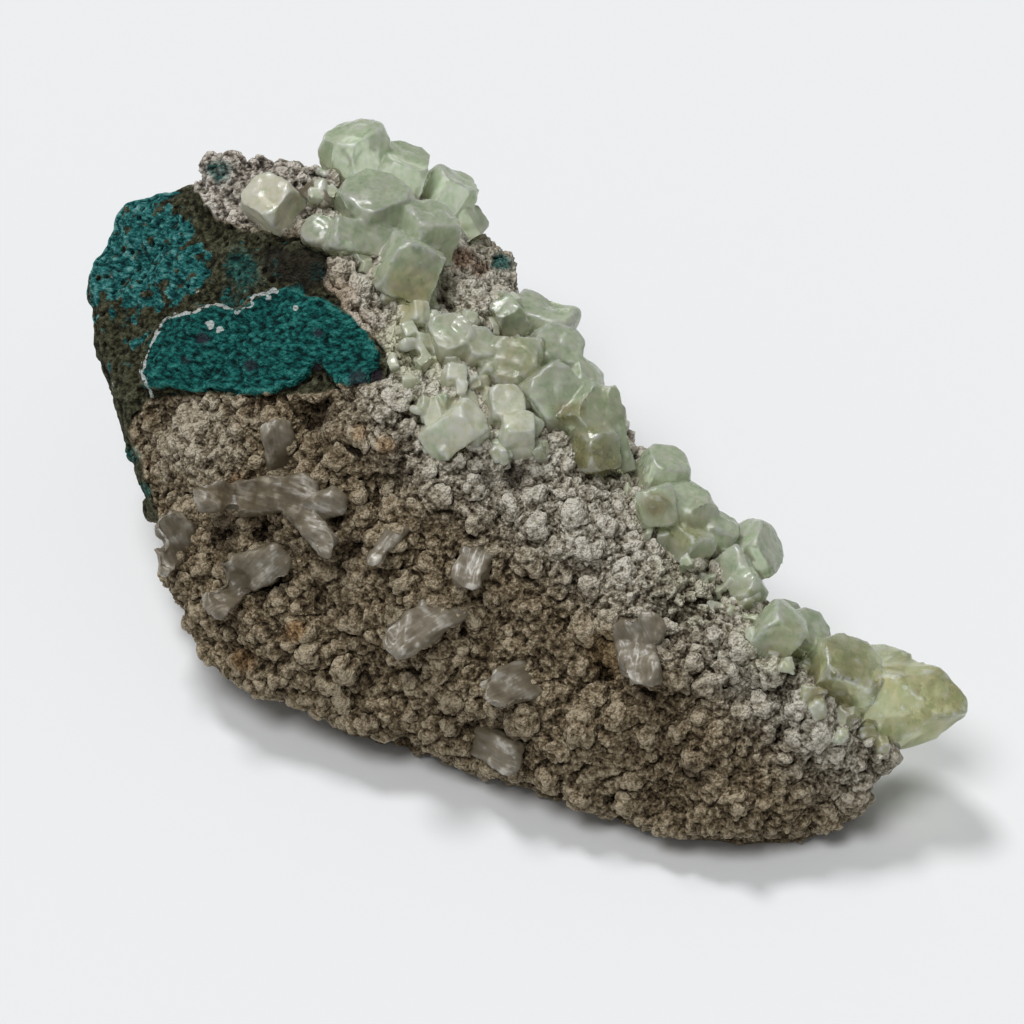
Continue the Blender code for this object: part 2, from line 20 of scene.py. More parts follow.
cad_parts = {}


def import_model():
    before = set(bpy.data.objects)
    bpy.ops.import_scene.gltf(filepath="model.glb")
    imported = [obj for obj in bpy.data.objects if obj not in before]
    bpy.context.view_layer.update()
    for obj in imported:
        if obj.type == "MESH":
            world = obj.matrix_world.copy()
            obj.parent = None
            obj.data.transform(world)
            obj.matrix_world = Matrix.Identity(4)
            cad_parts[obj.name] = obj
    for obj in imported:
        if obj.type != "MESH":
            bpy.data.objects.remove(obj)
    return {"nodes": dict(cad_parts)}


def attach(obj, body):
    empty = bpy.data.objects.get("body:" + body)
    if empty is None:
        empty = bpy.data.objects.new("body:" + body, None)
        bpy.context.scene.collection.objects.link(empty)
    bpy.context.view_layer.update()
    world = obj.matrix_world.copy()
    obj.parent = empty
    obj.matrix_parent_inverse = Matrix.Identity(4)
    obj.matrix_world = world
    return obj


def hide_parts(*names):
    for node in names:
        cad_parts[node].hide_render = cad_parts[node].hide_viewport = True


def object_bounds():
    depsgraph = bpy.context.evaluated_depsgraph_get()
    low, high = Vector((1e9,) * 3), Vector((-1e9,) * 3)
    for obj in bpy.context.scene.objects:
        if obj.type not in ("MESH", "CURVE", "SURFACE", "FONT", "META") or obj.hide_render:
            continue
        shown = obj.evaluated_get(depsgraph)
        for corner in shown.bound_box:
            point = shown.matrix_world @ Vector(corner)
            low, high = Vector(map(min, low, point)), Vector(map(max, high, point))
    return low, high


MM = 0.001

# The photograph: its width in pixels, how much of the stone's level it shows, and where its camera stands
PICTURE_WIDTH = 1024
SEEN_WIDTH = 164 * MM
PIXEL = SEEN_WIDTH / PICTURE_WIDTH
VIEW_AZIMUTH = math.radians(24)
VIEW_ELEVATION = math.radians(45)
VIEW_DISTANCE = 750 * MM
VIEW_CENTRE = np.array((2.3, -9.8, 30)) * MM
SENSOR_WIDTH = 36
CAMERA_RANGE = (0.01, 10)
FLOOR_REACH = 3

# The stone's body below its crust, and how finely its skin is made
BODY_VOXEL = 0.9 * MM
SKIN_VOXEL = 0.3 * MM
SKIN_TRIANGLES = 600000
CRUST_SUNK = 1.5 * MM
RIM_SUNK = 2.2 * MM
RIM_PIXELS = (-24, -7)
PIT_DEPTH = 1.8 * MM

# Pixels by which the body and its crust stay inside the outline, and the most that the body is pulled in
BODY_MARGIN = 5
CRUST_MARGIN = 6
MOST_PULLED_IN = 22

# Rounded heads of the crust: how far apart they are, their radii as shares of that distance, and their
# rises as shares of a radius
KNOB_SPACING = 4.0 * MM
KNOB_RADIUS = (0.34, 0.62)
KNOB_RISE = (-0.95, -0.2)
KNOB_LOWEST = 1 * MM

# Steps of smoothing
BODY_STEPS = 4
SKIN_STEPS = 3
NORMAL_STEPS = 3
FACING_STEPS = 12
OPEN_STEPS = 12
NEAR_STEPS = 5
FAR_STEPS = 26
EDGE_STEPS = 8
SMOOTH_STEPS = {"apophyllite": 5, "stilbite": 9}

# Noise: how large its swells are, how high they are, and the salt that places them
Noise = namedtuple("Noise", "size height salt")
KNOB_VARIETY = Noise(12 * MM, 0.35, 5)
KNOB_BENDS = Noise(5 * MM, 0.9 * MM, 111)
LUMP_BENDS = Noise(2.4 * MM, 0.6 * MM, 121)
LUMPS = Noise(1.9 * MM, 0.75 * MM, 131)
BUDS = Noise(0.85 * MM, 0.5 * MM, 141)
GRAINS = Noise(0.55 * MM, 0.22 * MM, 151)
CRUMBS = Noise(1.2 * MM, 0.6 * MM, 181)
BLOCKS = Noise(3 * MM, 0.6 * MM, 161)
GAPS = Noise(4 * MM, 1, 171)
ROW_BENDS = Noise(9 * MM, 5, 41)
PEBBLES = Noise(1.2 * MM, 0.5 * MM, 61)
PEBBLE_SWELLS = Noise(2.6 * MM, 0.5 * MM, 62)
HACKLES = Noise(3.6 * MM, 0.75 * MM, 71)
LEDGES = Noise(6 * MM, 0.9 * MM, 81)
HOLES = Noise(2.0 * MM, 0.8 * MM, 91)
SEAM_BENDS = Noise(1.5 * MM, 2, 92)
SEAM_COLOUR_BENDS = Noise(1.6 * MM, 2.5, 93)
SPOT_BENDS = Noise(2.2 * MM, 0.35, 31)
HIDDEN_COLOURS = Noise(12 * MM, 1, 101)
CRYSTAL_SWELLS = Noise(4.5 * MM, 0.55 * MM, 201)
CRYSTAL_STEPS = Noise(1.9 * MM, 0.17 * MM, 202)
BLADE_LINES = Noise(0.8 * MM, 0.28 * MM, 203)
BLADE_SWELLS = Noise(2 * MM, 0.25 * MM, 205)
BLADE_SINKS = Noise(5 * MM, 1, 204)

# What noise shapes: gaps in the crust, rows on its lower front, the slab of clay and its seam, and the blades
GAP_DEPTH = 1.4 * MM
GAP_RANGE = (0.35, 0.8)
FINE_CALM = 0.4
ROW_PIXELS = 4.2
ROW_SLANT = 0.35
ROW_HEIGHT = 0.35 * MM
SLAB_HEIGHT = 1.0 * MM
SLAB_RANGE = (-0.2, 0.25)
HOLE_SHARE = 0.45
SEAM_HEIGHT = 0.25 * MM
BLADE_RISE = 0.3 * MM
BLADE_SINK = 1.2 * MM
BLADE_STRETCH = 6

# Heads that meet in creases: how far one reaches in sizes, the lowest height, and how much higher others are
DOME_REACH = 0.85
DOME_LOWEST = 0.65
DOME_VARIETY = 0.5

# Rough noise fills its range with this gain
ROUGH_GAIN = 1.4

# Numbers that scramble whole-numbered cells, and the range of the result
CELL_PRIMES = (73856093, 19349663, 83492791, 49979687)
MIXERS = ((13, 1274126177), (16, 668265263))
HASH_RANGE = 0xFFFFFF

# Edges of the outlined areas: how ragged they are in pixels, and their salt
Edge = namedtuple("Edge", "ragged salt")
BROKEN_EDGE = Edge(4, 11)
SLAB_EDGE = Edge(3, 51)
TEAL_END_EDGE = Edge(5, 52)
OVERHANG_SHADOW_EDGE = Edge(3, 53)
BLOCK_EDGE = Edge(3, 57)
EDGE_SWELL = 3 * MM
EDGE_RIPPLE = 1.2 * MM

# A spot is full within the first share of its radius and gone at the second
SPOT_CORE = 0.5
SPOT_END = 1.3

# Above this level the hidden side is paler
HIDDEN_PALE_LEVEL = 30 * MM
HIDDEN_PALE_FADE = 25 * MM

# The finished crystals: how finely they are made, and the share of their triangles that is kept
CRYSTAL_VOXEL = 0.3 * MM
CRYSTAL_KEPT = 0.35
SMALL_VOXEL = 0.22 * MM
SMALL_KEPT = 0.4
AXIS_POINTS = 2000

# Blocks grown on crystals: the least face, the face that holds one more, and their sizes and tilt
GROWN_LEAST_FACE = 7 * MM * MM
GROWN_EACH_FACE = 40 * MM * MM
GROWN_WIDTH = (0.45, 0.75)
GROWN_LENGTH = (0.6, 1.3)
GROWN_HEIGHT = 0.5
GROWN_OUT = (0.1, 0.3)
GROWN_TILT = 0.04
BLOCK_CORNERS = (0.82, 1.06)

# Small crystals: how many stand at one place, and their widths, depths, lengths, leans and shifts as shares
SMALL_COUNT = 4
SMALL_WIDTH = (0.45, 1.0)
SMALL_DEPTH = (0.45, 1)
SMALL_LENGTH = (1.1, 1.6)
SMALL_LEAN = 0.6
SMALL_UPRIGHT = 0.4
SMALL_SHIFT = (-0.6, 0.6)

# The rock is made in slabs, cut at these distances to the right
CUTS = (-48 * MM, -25 * MM, 0, 30 * MM)
UNDERSIDE_LEVEL = 0.08 * MM

# Corners closer than this are one, the rise of a level line, and how far a socket's wall is from its crystal
WELD = 1e-7
TINY = 1e-9
SOCKET_REACH = 0.7 * MM

# The stone's outline in the photograph, in pixels
OUTLINE = (
    (90, 280), (90, 300), (98, 350), (116, 400), (138, 476), (154, 510), (163, 551), (157, 582), (173, 620),
    (201, 664), (217, 667), (239, 692), (248, 698), (295, 705), (329, 727), (386, 742), (408, 733),
    (452, 770), (524, 789), (561, 808), (614, 822), (693, 844), (712, 838), (755, 841), (824, 838),
    (868, 814), (881, 780), (912, 755), (918, 742), (965, 718), (968, 708), (955, 683), (940, 668),
    (912, 650), (881, 644), (868, 651), (831, 640), (806, 620), (762, 604), (752, 600), (752, 587),
    (779, 555), (768, 532), (746, 520), (732, 524), (707, 510), (705, 495), (680, 480), (672, 462),
    (656, 453), (652, 447), (637, 450), (628, 435), (625, 410), (612, 384), (605, 382), (575, 362),
    (571, 345), (578, 328), (558, 305), (530, 296), (520, 303), (512, 285), (522, 275), (515, 255),
    (495, 248), (480, 240), (484, 228), (478, 205), (465, 177), (455, 170), (434, 175), (420, 158),
    (412, 148), (390, 144), (372, 127), (349, 123), (340, 134), (330, 138), (323, 155), (300, 155),
    (250, 153), (222, 148), (201, 149), (190, 170), (191, 188), (150, 190), (138, 197), (130, 200),
    (100, 250),
)

# Lights: where each stands, its strength, and how wide it is in degrees
Light = namedtuple("Light", "name source energy angle")
LIGHTS = (
    Light("key", (-0.5, 0.33, 1.15), 1.5, 14),
    Light("top", (-0.1, -0.35, 0.9), 1.45, 25),
)
WORLD_LIGHT = 0.21

# Where crystals alone make the stone's outline
CRYSTAL_RIM = (
    (545, 292), (560, 305), (578, 328), (575, 345), (590, 368), (607, 382), (628, 430), (650, 447),
    (682, 480), (707, 508), (735, 522), (768, 530), (780, 555),
)

# Areas of the photograph, as outlines in pixels
BROKEN_FACE = (
    (40, 285), (80, 190), (140, 150), (186, 178), (215, 222), (300, 240), (328, 258), (320, 278),
    (350, 312), (388, 352), (388, 378), (350, 386), (270, 396), (205, 392), (150, 398), (128, 430),
    (160, 520), (90, 540), (50, 400),
)
TEAL_SLAB = (
    (143, 390), (141, 370), (150, 345), (165, 322), (195, 312), (215, 305), (235, 312), (245, 308),
    (255, 296), (278, 292), (300, 280), (307, 294), (330, 304), (352, 314), (365, 332), (381, 352),
    (380, 366), (366, 385), (346, 389), (330, 378), (317, 362), (310, 375), (300, 385), (270, 395),
    (200, 392), (150, 388),
)
TEAL_END = (
    (95, 305), (60, 270), (100, 170), (186, 170), (172, 205), (200, 235), (212, 262), (205, 290),
    (150, 312),
)
# Painted shadow: the near-black shade that the crust's overhang casts on the broken basalt
OVERHANG_SHADOW = ((262, 246), (330, 250), (330, 285), (300, 290), (262, 275))
PALE_CREST = (
    (225, 140), (340, 130), (560, 280), (660, 430), (800, 580), (930, 740), (885, 785), (850, 795),
    (800, 765), (750, 715), (700, 665), (640, 628), (590, 590), (540, 555), (480, 515), (420, 480),
    (370, 430), (360, 395), (395, 375), (385, 345), (345, 300), (330, 262), (300, 235), (235, 225),
    (200, 190),
)
FINE_FRONT = (
    (560, 640), (640, 640), (700, 670), (760, 720), (840, 780), (880, 800), (840, 850), (690, 860),
    (560, 830), (430, 770), (440, 720), (520, 700),
)
LOWER_FRONT = (
    (150, 560), (300, 560), (450, 600), (600, 680), (740, 740), (860, 800), (840, 860), (690, 870),
    (500, 820), (300, 740), (180, 700),
)
TOP_BLOCK = (
    (188, 150), (222, 146), (300, 150), (325, 160), (335, 185), (312, 214), (262, 230), (215, 216),
    (188, 190),
)
WHITE_SEAM = (
    (152, 396), (141, 371), (150, 345), (158, 331), (165, 321), (193, 311), (215, 304), (235, 311),
    (247, 307), (255, 296), (276, 291),
)

# The crystals that are cream rather than green, and how dark their roots and the small crystals' roots are,
# where the dark rock seen through a crystal's foot is painted in
CREAM_CRYSTALS = ("apophyllite_pale_block", "apophyllite_crust_lower", "apophyllite_crust_middle")
CREAM_ROOT = 0.3
SMALL_ROOT = 0.6

# Colours from dark to light, each with its place on the scale
TAN_CRUST = (
    (0.0, (0.025, 0.017, 0.01)), (0.2, (0.075, 0.053, 0.029)), (0.45, (0.158, 0.119, 0.07)),
    (0.7, (0.265, 0.209, 0.133)), (1.0, (0.46, 0.385, 0.27)),
)
PALE_CRUST = (
    (0.0, (0.03, 0.023, 0.016)), (0.2, (0.11, 0.092, 0.066)), (0.42, (0.25, 0.224, 0.172)),
    (0.66, (0.43, 0.4, 0.325)), (1.0, (0.74, 0.71, 0.62)),
)
BARE_BLOCK = (
    (0.3, (0.03, 0.025, 0.02)), (0.43, (0.16, 0.138, 0.115)), (0.54, (0.38, 0.34, 0.285)),
    (0.68, (0.7, 0.65, 0.58)),
)
BASALT = (
    (0.28, (0.004, 0.0035, 0.002)), (0.42, (0.02, 0.019, 0.009)), (0.56, (0.058, 0.058, 0.031)),
    (0.78, (0.14, 0.138, 0.09)),
)
TEAL_CLAY = (
    (0.3, (0.0004, 0.009, 0.01)), (0.43, (0.0015, 0.04, 0.038)), (0.56, (0.007, 0.115, 0.103)),
    (0.76, (0.045, 0.24, 0.215)),
)
GREEN_CRYSTAL = ((0.25, (0.56, 0.71, 0.46)), (0.48, (0.77, 0.88, 0.64)), (0.72, (0.97, 1.0, 0.84)))
CREAM_CRYSTAL = ((0.25, (0.8, 0.77, 0.54)), (0.48, (0.95, 0.93, 0.75)), (0.72, (1.0, 1.0, 0.92)))
# The blades: their own dark and light tans, with painted highlights at the light end
BLADE_TONES_AND_HIGHLIGHTS = ((0.34, (0.2, 0.165, 0.11)), (0.52, (0.36, 0.315, 0.235)), (0.64, (0.86, 0.82, 0.73)))

# Tints: the field that places each, its share and the colour it multiplies by
CRUST_TINTS = (
    ("stain_spot", 0.8, (0.9, 0.58, 0.28)), ("rust_spot", 0.9, (0.55, 0.36, 0.27)),
    ("green_spot", 0.6, (0.86, 0.95, 0.66)), ("dark_spot", 1.0, (0.3, 0.27, 0.27)),
)
# Painted shade that darkens the pits
PAINTED_PIT_SHADE = (("pit_spot", 0.75, (0.25, 0.22, 0.2)),)
# On the crystals, root paints in the dark rock seen through each crystal near its foot
CRYSTAL_TINTS = (
    ("root", 0.38, (0.52, 0.42, 0.24)), ("olive_spot", 0.85, (0.72, 0.63, 0.4)),
    ("tan_spot", 0.8, (1.0, 0.84, 0.6)),
)
BLADE_TINTS = (("tan_spot", 1.0, (0.55, 0.5, 0.42)),)
PALE_TEAL = (6, 2.0, 2.2)

# Single colours
SEAM_COLOUR = (0.5, 0.54, 0.52)
FLECK_COLOUR = (0.48, 0.52, 0.5)
VIOLET_COLOUR = (0.028, 0.02, 0.034)
# Painted shadow under the crust's overhang
OVERHANG_SHADOW_COLOUR = (0.014, 0.011, 0.008)
BROWN_COLOUR = (0.26, 0.19, 0.09)
# Frosting and painted highlight on the crystals' edges
FROST_AND_HIGHLIGHT_COLOUR = (0.97, 1.0, 0.95)
BLADE_ROOT_COLOUR = (0.19, 0.155, 0.1)
CUT_COLOUR = (0.06, 0.062, 0.05)
FLOOR_COLOUR = (0.8, 0.812, 0.826)

# Small crystals on the crust: middles and widths in pixels
SMALL_CRYSTALS = (
    (400, 300, 18), (412, 318, 22), (398, 335, 16), (415, 345, 24), (431, 330, 18), (440, 350, 22),
    (425, 368, 24), (445, 378, 20), (408, 385, 18), (392, 362, 14), (456, 338, 17), (468, 350, 18),
    (480, 336, 20), (470, 322, 15), (493, 330, 15), (460, 395, 18), (478, 385, 16), (443, 402, 24),
    (445, 425, 26), (440, 445, 20), (512, 430, 16), (430, 302, 15), (452, 362, 18), (495, 375, 18),
    (485, 362, 14), (470, 410, 18), (490, 400, 18), (425, 410, 16), (456, 440, 15), (480, 435, 15),
    (525, 405, 16), (530, 425, 15), (545, 420, 14), (500, 450, 14), (540, 450, 14), (292, 160, 15),
    (305, 158, 14), (317, 164, 13), (324, 198, 20), (317, 188, 14), (334, 196, 14), (345, 216, 15),
    (346, 254, 16), (365, 263, 16), (384, 277, 18), (430, 272, 15), (444, 246, 14), (447, 226, 14),
    (405, 206, 14), (320, 172, 12), (506, 302, 15), (520, 332, 14), (560, 348, 14), (596, 380, 14),
    (575, 400, 16), (560, 395, 15), (555, 412, 14), (600, 470, 14), (628, 490, 14), (640, 508, 16),
    (655, 520, 16), (648, 530, 13), (668, 540, 14), (690, 565, 15), (702, 580, 17), (722, 590, 17),
    (742, 600, 18), (712, 605, 15), (732, 612, 14), (745, 585, 16), (750, 620, 16), (762, 622, 17),
    (776, 636, 18), (792, 650, 15), (752, 640, 14), (806, 668, 16), (770, 655, 14), (786, 668, 13),
    (812, 692, 15), (822, 706, 16), (846, 716, 15), (866, 735, 15), (840, 735, 12), (880, 740, 14),
    (825, 672, 14), (848, 642, 14), (862, 655, 13), (905, 735, 14), (930, 722, 13), (720, 560, 14),
    (700, 545, 14), (612, 440, 14), (622, 425, 13), (585, 372, 13), (548, 330, 14),
)

# Rounded patches of colour, by what they hold: the middle and radius of each in pixels, and its strength
SPOTS = {
    # on the crust
    "stain": (
        (238, 488, 12, 0.8), (295, 630, 12, 0.8), (242, 660, 14, 0.7), (385, 445, 12, 0.7),
        (360, 432, 10, 0.6), (610, 655, 26, 0.45),
    ),
    "rust": (
        (462, 258, 13, 0.9), (480, 268, 10, 0.8), (437, 209, 6, 0.9), (335, 300, 26, 0.45),
        (350, 325, 24, 0.35), (230, 205, 22, 0.3),
    ),
    "dark": ((215, 160, 24, 0.5), (240, 165, 20, 0.4)),
    "white": (
        (545, 457, 22, 1), (475, 385, 18, 1), (575, 453, 12, 1), (740, 685, 12, 0.7), (360, 320, 26, 0.8),
        (400, 380, 22, 0.5), (465, 225, 16, 1), (450, 205, 12, 1), (320, 195, 14, 1), (206, 163, 9, 0.8),
        (205, 205, 10, 0.5), (835, 722, 46, 0.7), (430, 350, 70, 0.95), (470, 420, 50, 0.8),
        (375, 310, 40, 0.8), (500, 440, 36, 0.7), (245, 215, 60, 0.5), (200, 440, 50, 0.3),
        (450, 230, 40, 0.9), (460, 300, 46, 0.75), (495, 290, 26, 0.8), (600, 520, 70, 0.35),
    ),
    "green": (
        (420, 345, 40, 0.8), (510, 365, 30, 0.6), (258, 221, 12, 0.8), (305, 158, 22, 0.8),
        (465, 325, 24, 0.3), (610, 655, 24, 0.35), (690, 590, 40, 0.35), (770, 640, 40, 0.4),
    ),
    # pits: sunk into the body, and darkened with painted shade
    "pit": (
        (320, 415, 16, 1), (222, 530, 18, 1), (350, 548, 14, 1), (602, 672, 12, 1), (515, 480, 15, 1),
        (690, 770, 9, 1), (706, 776, 9, 1), (730, 690, 12, 0.6), (780, 733, 12, 0.6), (275, 585, 12, 0.7),
        (505, 735, 10, 0.7), (610, 800, 8, 0.7), (262, 532, 13, 0.9), (290, 548, 11, 0.9),
        (192, 526, 10, 0.8), (306, 418, 10, 1), (343, 566, 10, 0.8), (486, 478, 10, 0.8),
        (412, 676, 10, 0.8), (367, 716, 10, 0.8), (402, 478, 9, 0.7), (455, 555, 10, 0.6),
    ),
    # on the broken face
    "fleck": (
        (210, 325, 7, 1), (219, 330, 5, 1), (268, 298, 5, 1), (296, 308, 5, 1), (220, 255, 4, 0.7),
        (113, 280, 5, 0.8), (197, 292, 4, 0.8), (112, 383, 10, 0.7), (126, 385, 8, 0.6),
    ),
    "violet": (
        (202, 338, 6, 1), (318, 333, 5, 1), (250, 365, 8, 0.8), (186, 360, 4, 0.8), (360, 383, 12, 0.9),
        (376, 376, 7, 0.8), (318, 366, 5, 0.8),
    ),
    "teal": (
        (242, 268, 18, 0.75), (228, 300, 9, 0.7), (500, 262, 10, 1), (218, 172, 12, 0.8), (318, 274, 8, 1),
        (130, 455, 10, 0.6), (145, 490, 8, 0.5),
    ),
    # on the crystals and blades
    "olive": (
        (595, 455, 30, 1), (570, 415, 16, 1), (515, 365, 30, 0.75), (690, 530, 22, 0.8), (840, 675, 40, 1),
        (915, 702, 70, 0.9), (785, 642, 24, 0.6), (655, 505, 16, 0.8), (750, 600, 18, 0.5),
        (600, 410, 26, 0.4), (412, 284, 32, 0.5),
    ),
    "tan": (
        (275, 200, 40, 0.3), (408, 290, 26, 0.6), (890, 680, 18, 0.9), (925, 700, 40, 0.5),
        (255, 495, 60, 0.9), (225, 600, 50, 0.5),
    ),
    "brown": ((655, 505, 12, 0.8), (838, 688, 24, 0.5), (566, 415, 14, 0.6), (590, 460, 20, 0.4)),
    "cream": ((272, 202, 44, 0.9), (440, 350, 60, 0.7), (475, 420, 56, 0.9), (505, 420, 30, 0.8)),
}

# The kinds of spots that each material reads
ROCK_SPOTS = ("stain", "rust", "dark", "pit", "white", "teal", "green", "fleck", "violet")
CRYSTAL_SPOTS = ("olive", "tan", "brown")


def view_axes():
    """Right, up and towards the viewer, as the photograph shows them."""
    sin_a, cos_a = math.sin(VIEW_AZIMUTH), math.cos(VIEW_AZIMUTH)
    sin_e, cos_e = math.sin(VIEW_ELEVATION), math.cos(VIEW_ELEVATION)
    right = np.array((cos_a, sin_a, 0))
    up = np.array((-sin_a * sin_e, cos_a * sin_e, cos_e))
    toward = np.array((sin_a * cos_e, -cos_a * cos_e, sin_e))
    return right, up, toward


RIGHT, UP, TOWARD = view_axes()
EYE = VIEW_CENTRE + TOWARD * VIEW_DISTANCE


def pixels_of(points):
    """Where the photograph shows some points."""
    rays = points - EYE
    scale = VIEW_DISTANCE / -(rays @ TOWARD) / PIXEL
    return PICTURE_WIDTH / 2 + rays @ RIGHT * scale, PICTURE_WIDTH / 2 - rays @ UP * scale


def ease(value, low, high):
    """0 below low, 1 above high, and smooth between."""
    t = np.clip((value - low) / (high - low), 0, 1)
    return t * t * (3 - 2 * t)


def segment_distance(px, py, start, end):
    """Pixels from points to a straight line."""
    (ax, ay), (bx, by) = start, end
    along = ((px - ax) * (bx - ax) + (py - ay) * (by - ay)) / ((bx - ax) ** 2 + (by - ay) ** 2)
    along = np.clip(along, 0, 1)
    return np.hypot(px - ax - along * (bx - ax), py - ay - along * (by - ay))


def line_distance(px, py, line):
    """Pixels from points to a line with bends."""
    return reduce(np.minimum, (segment_distance(px, py, *ends) for ends in zip(line, line[1:])))


def inside_distance(px, py, outline):
    """Pixels from points to an outline, positive inside it."""
    closed = outline + outline[:1]
    inside = np.zeros(len(px), bool)
    for (ax, ay), (bx, by) in zip(closed, closed[1:]):
        rise = by - ay if by != ay else TINY
        inside ^= ((ay > py) != (by > py)) & (px < ax + (py - ay) * (bx - ax) / rise)
    nearest = line_distance(px, py, closed)
    return np.where(inside, nearest, -nearest)


def hashed(x, y, z, salt):
    """Numbers from 0 to 1 that belong to whole-numbered cells."""
    mixed = 0
    for value, prime in zip((x, y, z, salt), CELL_PRIMES):
        mixed = mixed ^ value * prime
    for shift, mixer in MIXERS:
        mixed = (mixed ^ (mixed >> shift)) * mixer
    return ((mixed >> 8) & HASH_RANGE) / HASH_RANGE


def waves(points, size, salt):
    """Smooth noise from -1 to 1, with swells of one size."""
    place = points / size
    low = np.floor(place).astype(np.int64)
    part = place - low
    part = part * part * (3 - 2 * part)
    total = np.zeros(len(points))
    for corner in range(8):
        step = np.array((corner & 1, corner >> 1 & 1, corner >> 2 & 1))
        weight = np.prod(np.where(step, part, 1 - part), axis=1)
        total += weight * hashed(*(low + step).T, salt)
    return total * 2 - 1


def swells(points, noise):
    """The smooth swells of a noise."""
    return waves(points, noise.size, noise.salt) * noise.height


def rough(points, noise, octaves):
    """A noise with finer and finer swells on it."""
    total, strength, whole = np.zeros(len(points)), 1.0, 0.0
    for octave in range(octaves):
        total += strength * waves(points, noise.size / 2 ** octave, noise.salt + octave)
        whole += strength
        strength *= 0.5
    return total / whole * ROUGH_GAIN * noise.height


def bends(points, noise):
    """A push in its own direction at each point."""
    pushes = [rough(points, noise._replace(salt=noise.salt + axis), 3) for axis in range(3)]
    return np.stack(pushes, axis=1)


def cells(points, size, salt):
    """Distance to the nearest of scattered middles, in sizes, and a number from 0 to 1 for that middle."""
    place = points / size
    low = np.floor(place).astype(np.int64)
    nearest = np.full(len(points), 9.0)
    owner = np.zeros(len(points))
    for dx in (-1, 0, 1):
        for dy in (-1, 0, 1):
            for dz in (-1, 0, 1):
                x, y, z = (low + (dx, dy, dz)).T
                own = hashed(x, y, z, salt)
                gap = (place[:, 0] - x - own) ** 2
                gap += (place[:, 1] - y - hashed(x, y, z, salt + 1)) ** 2
                gap += (place[:, 2] - z - hashed(x, y, z, salt + 2)) ** 2
                owner = np.where(gap < nearest, own, owner)
                nearest = np.minimum(nearest, gap)
    return np.sqrt(nearest), owner


def new_mesh(name, points, faces):
    """A mesh from arrays of points and of faces with the same number of corners."""
    mesh = bpy.data.meshes.new(name)
    mesh.vertices.add(len(points))
    mesh.vertices.foreach_set("co", points.astype(np.float32).ravel())
    mesh.loops.add(faces.size)
    mesh.loops.foreach_set("vertex_index", faces.astype(np.int32).ravel())
    mesh.polygons.add(len(faces))
    mesh.polygons.foreach_set("loop_start", np.arange(len(faces), dtype=np.int32) * faces.shape[1])
    mesh.update(calc_edges=True)
    return mesh


def new_object(name, mesh):
    obj = bpy.data.objects.new(name, mesh)
    bpy.context.scene.collection.objects.link(obj)
    return obj


def read(items, name, width, kind=np.float32):
    """A property of a mesh's points, edges or triangles, as an array."""
    values = np.empty(len(items) * width, kind)
    items.foreach_get(name, values)
    return values.reshape(-1, width)


def editable(mesh):
    """A mesh opened for editing, with corners at one place joined."""
    bm = bmesh.new()
    bm.from_mesh(mesh)
    bmesh.ops.remove_doubles(bm, verts=bm.verts, dist=WELD)
    return bm


def closed_mesh(bm, mesh):
    """Put an edited mesh away."""
    bm.to_mesh(mesh)
    bm.free()
    return mesh


def points_of(mesh):
    return read(mesh.vertices, "co", 3).astype(float)


def normals_of(mesh):
    return read(mesh.vertices, "normal", 3).astype(float)


def edges_of(mesh):
    return read(mesh.edges, "vertices", 2, np.int32)


def triangles_of(mesh):
    mesh.calc_loop_triangles()
    return read(mesh.loop_triangles, "vertices", 3, np.int32)


def tree_of(mesh):
    """A search tree over a mesh's faces."""
    return BVHTree.FromPolygons(points_of(mesh).tolist(), triangles_of(mesh).tolist())


def modified(mesh, *modifiers):
    """A mesh after some modifiers, each a type and its settings."""
    helper = new_object("helper", mesh)
    for kind, settings in modifiers:
        modifier = helper.modifiers.new(kind, kind)
        for key, value in settings.items():
            setattr(modifier, key, value)
    graph = bpy.context.evaluated_depsgraph_get()
    made = bpy.data.meshes.new_from_object(helper.evaluated_get(graph))
    bpy.data.objects.remove(helper)
    return made


def skin_of(size):
    """The modifier that lays one even skin around everything in a mesh."""
    return "REMESH", {"mode": "VOXEL", "voxel_size": size}


def fewer_triangles(share):
    return "DECIMATE", {"ratio": share}


def relaxed(values, edges, steps, strength=0.5):
    """Values at points, each drawn towards the mean of its neighbours."""
    values = values.astype(float)
    flat = values.ndim == 1
    if flat:
        values = values[:, None]
    count = np.bincount(edges.ravel(), minlength=len(values))[:, None]
    count = np.maximum(count, 1)
    for _ in range(steps):
        total = np.empty_like(values)
        for axis in range(values.shape[1]):
            column = values[:, axis]
            total[:, axis] = np.bincount(edges[:, 0], column[edges[:, 1]], len(values))
            total[:, axis] += np.bincount(edges[:, 1], column[edges[:, 0]], len(values))
        values = values + (total / count - values) * strength
    return values[:, 0] if flat else values


def set_points(mesh, points):
    mesh.vertices.foreach_set("co", points.astype(np.float32).ravel())
    mesh.update()


def set_fields(mesh, fields, spots, points, seen):
    """Store values at points under their names, and the kinds of spots that are asked for."""
    for kind in spots:
        fields[kind + "_spot"] = spots_field(points, kind, seen)
    for name, values in fields.items():
        attribute = mesh.attributes.new(name, "FLOAT", "POINT")
        attribute.data.foreach_set("value", values.astype(np.float32))


def thinned(points, spacing, rng):
    """Indices of points no closer to each other than the spacing that each of them asks for."""
    tree = KDTree(len(points))
    for index, point in enumerate(points):
        tree.insert(point, index)
    tree.balance()
    order = list(range(len(points)))
    rng.shuffle(order)
    free = np.ones(len(points), bool)
    kept = []
    for index in order:
        if free[index]:
            kept.append(index)
            for _, other, _ in tree.find_range(points[index], spacing[index]):
                free[other] = False
    return kept


def ball(subdivisions):
    """Points and faces of a ball of radius 1."""
    bm = bmesh.new()
    bmesh.ops.create_icosphere(bm, subdivisions=subdivisions, radius=1)
    points = np.array([v.co[:] for v in bm.verts])
    faces = np.array([[v.index for v in f.verts] for f in bm.faces])
    bm.free()
    return points, faces


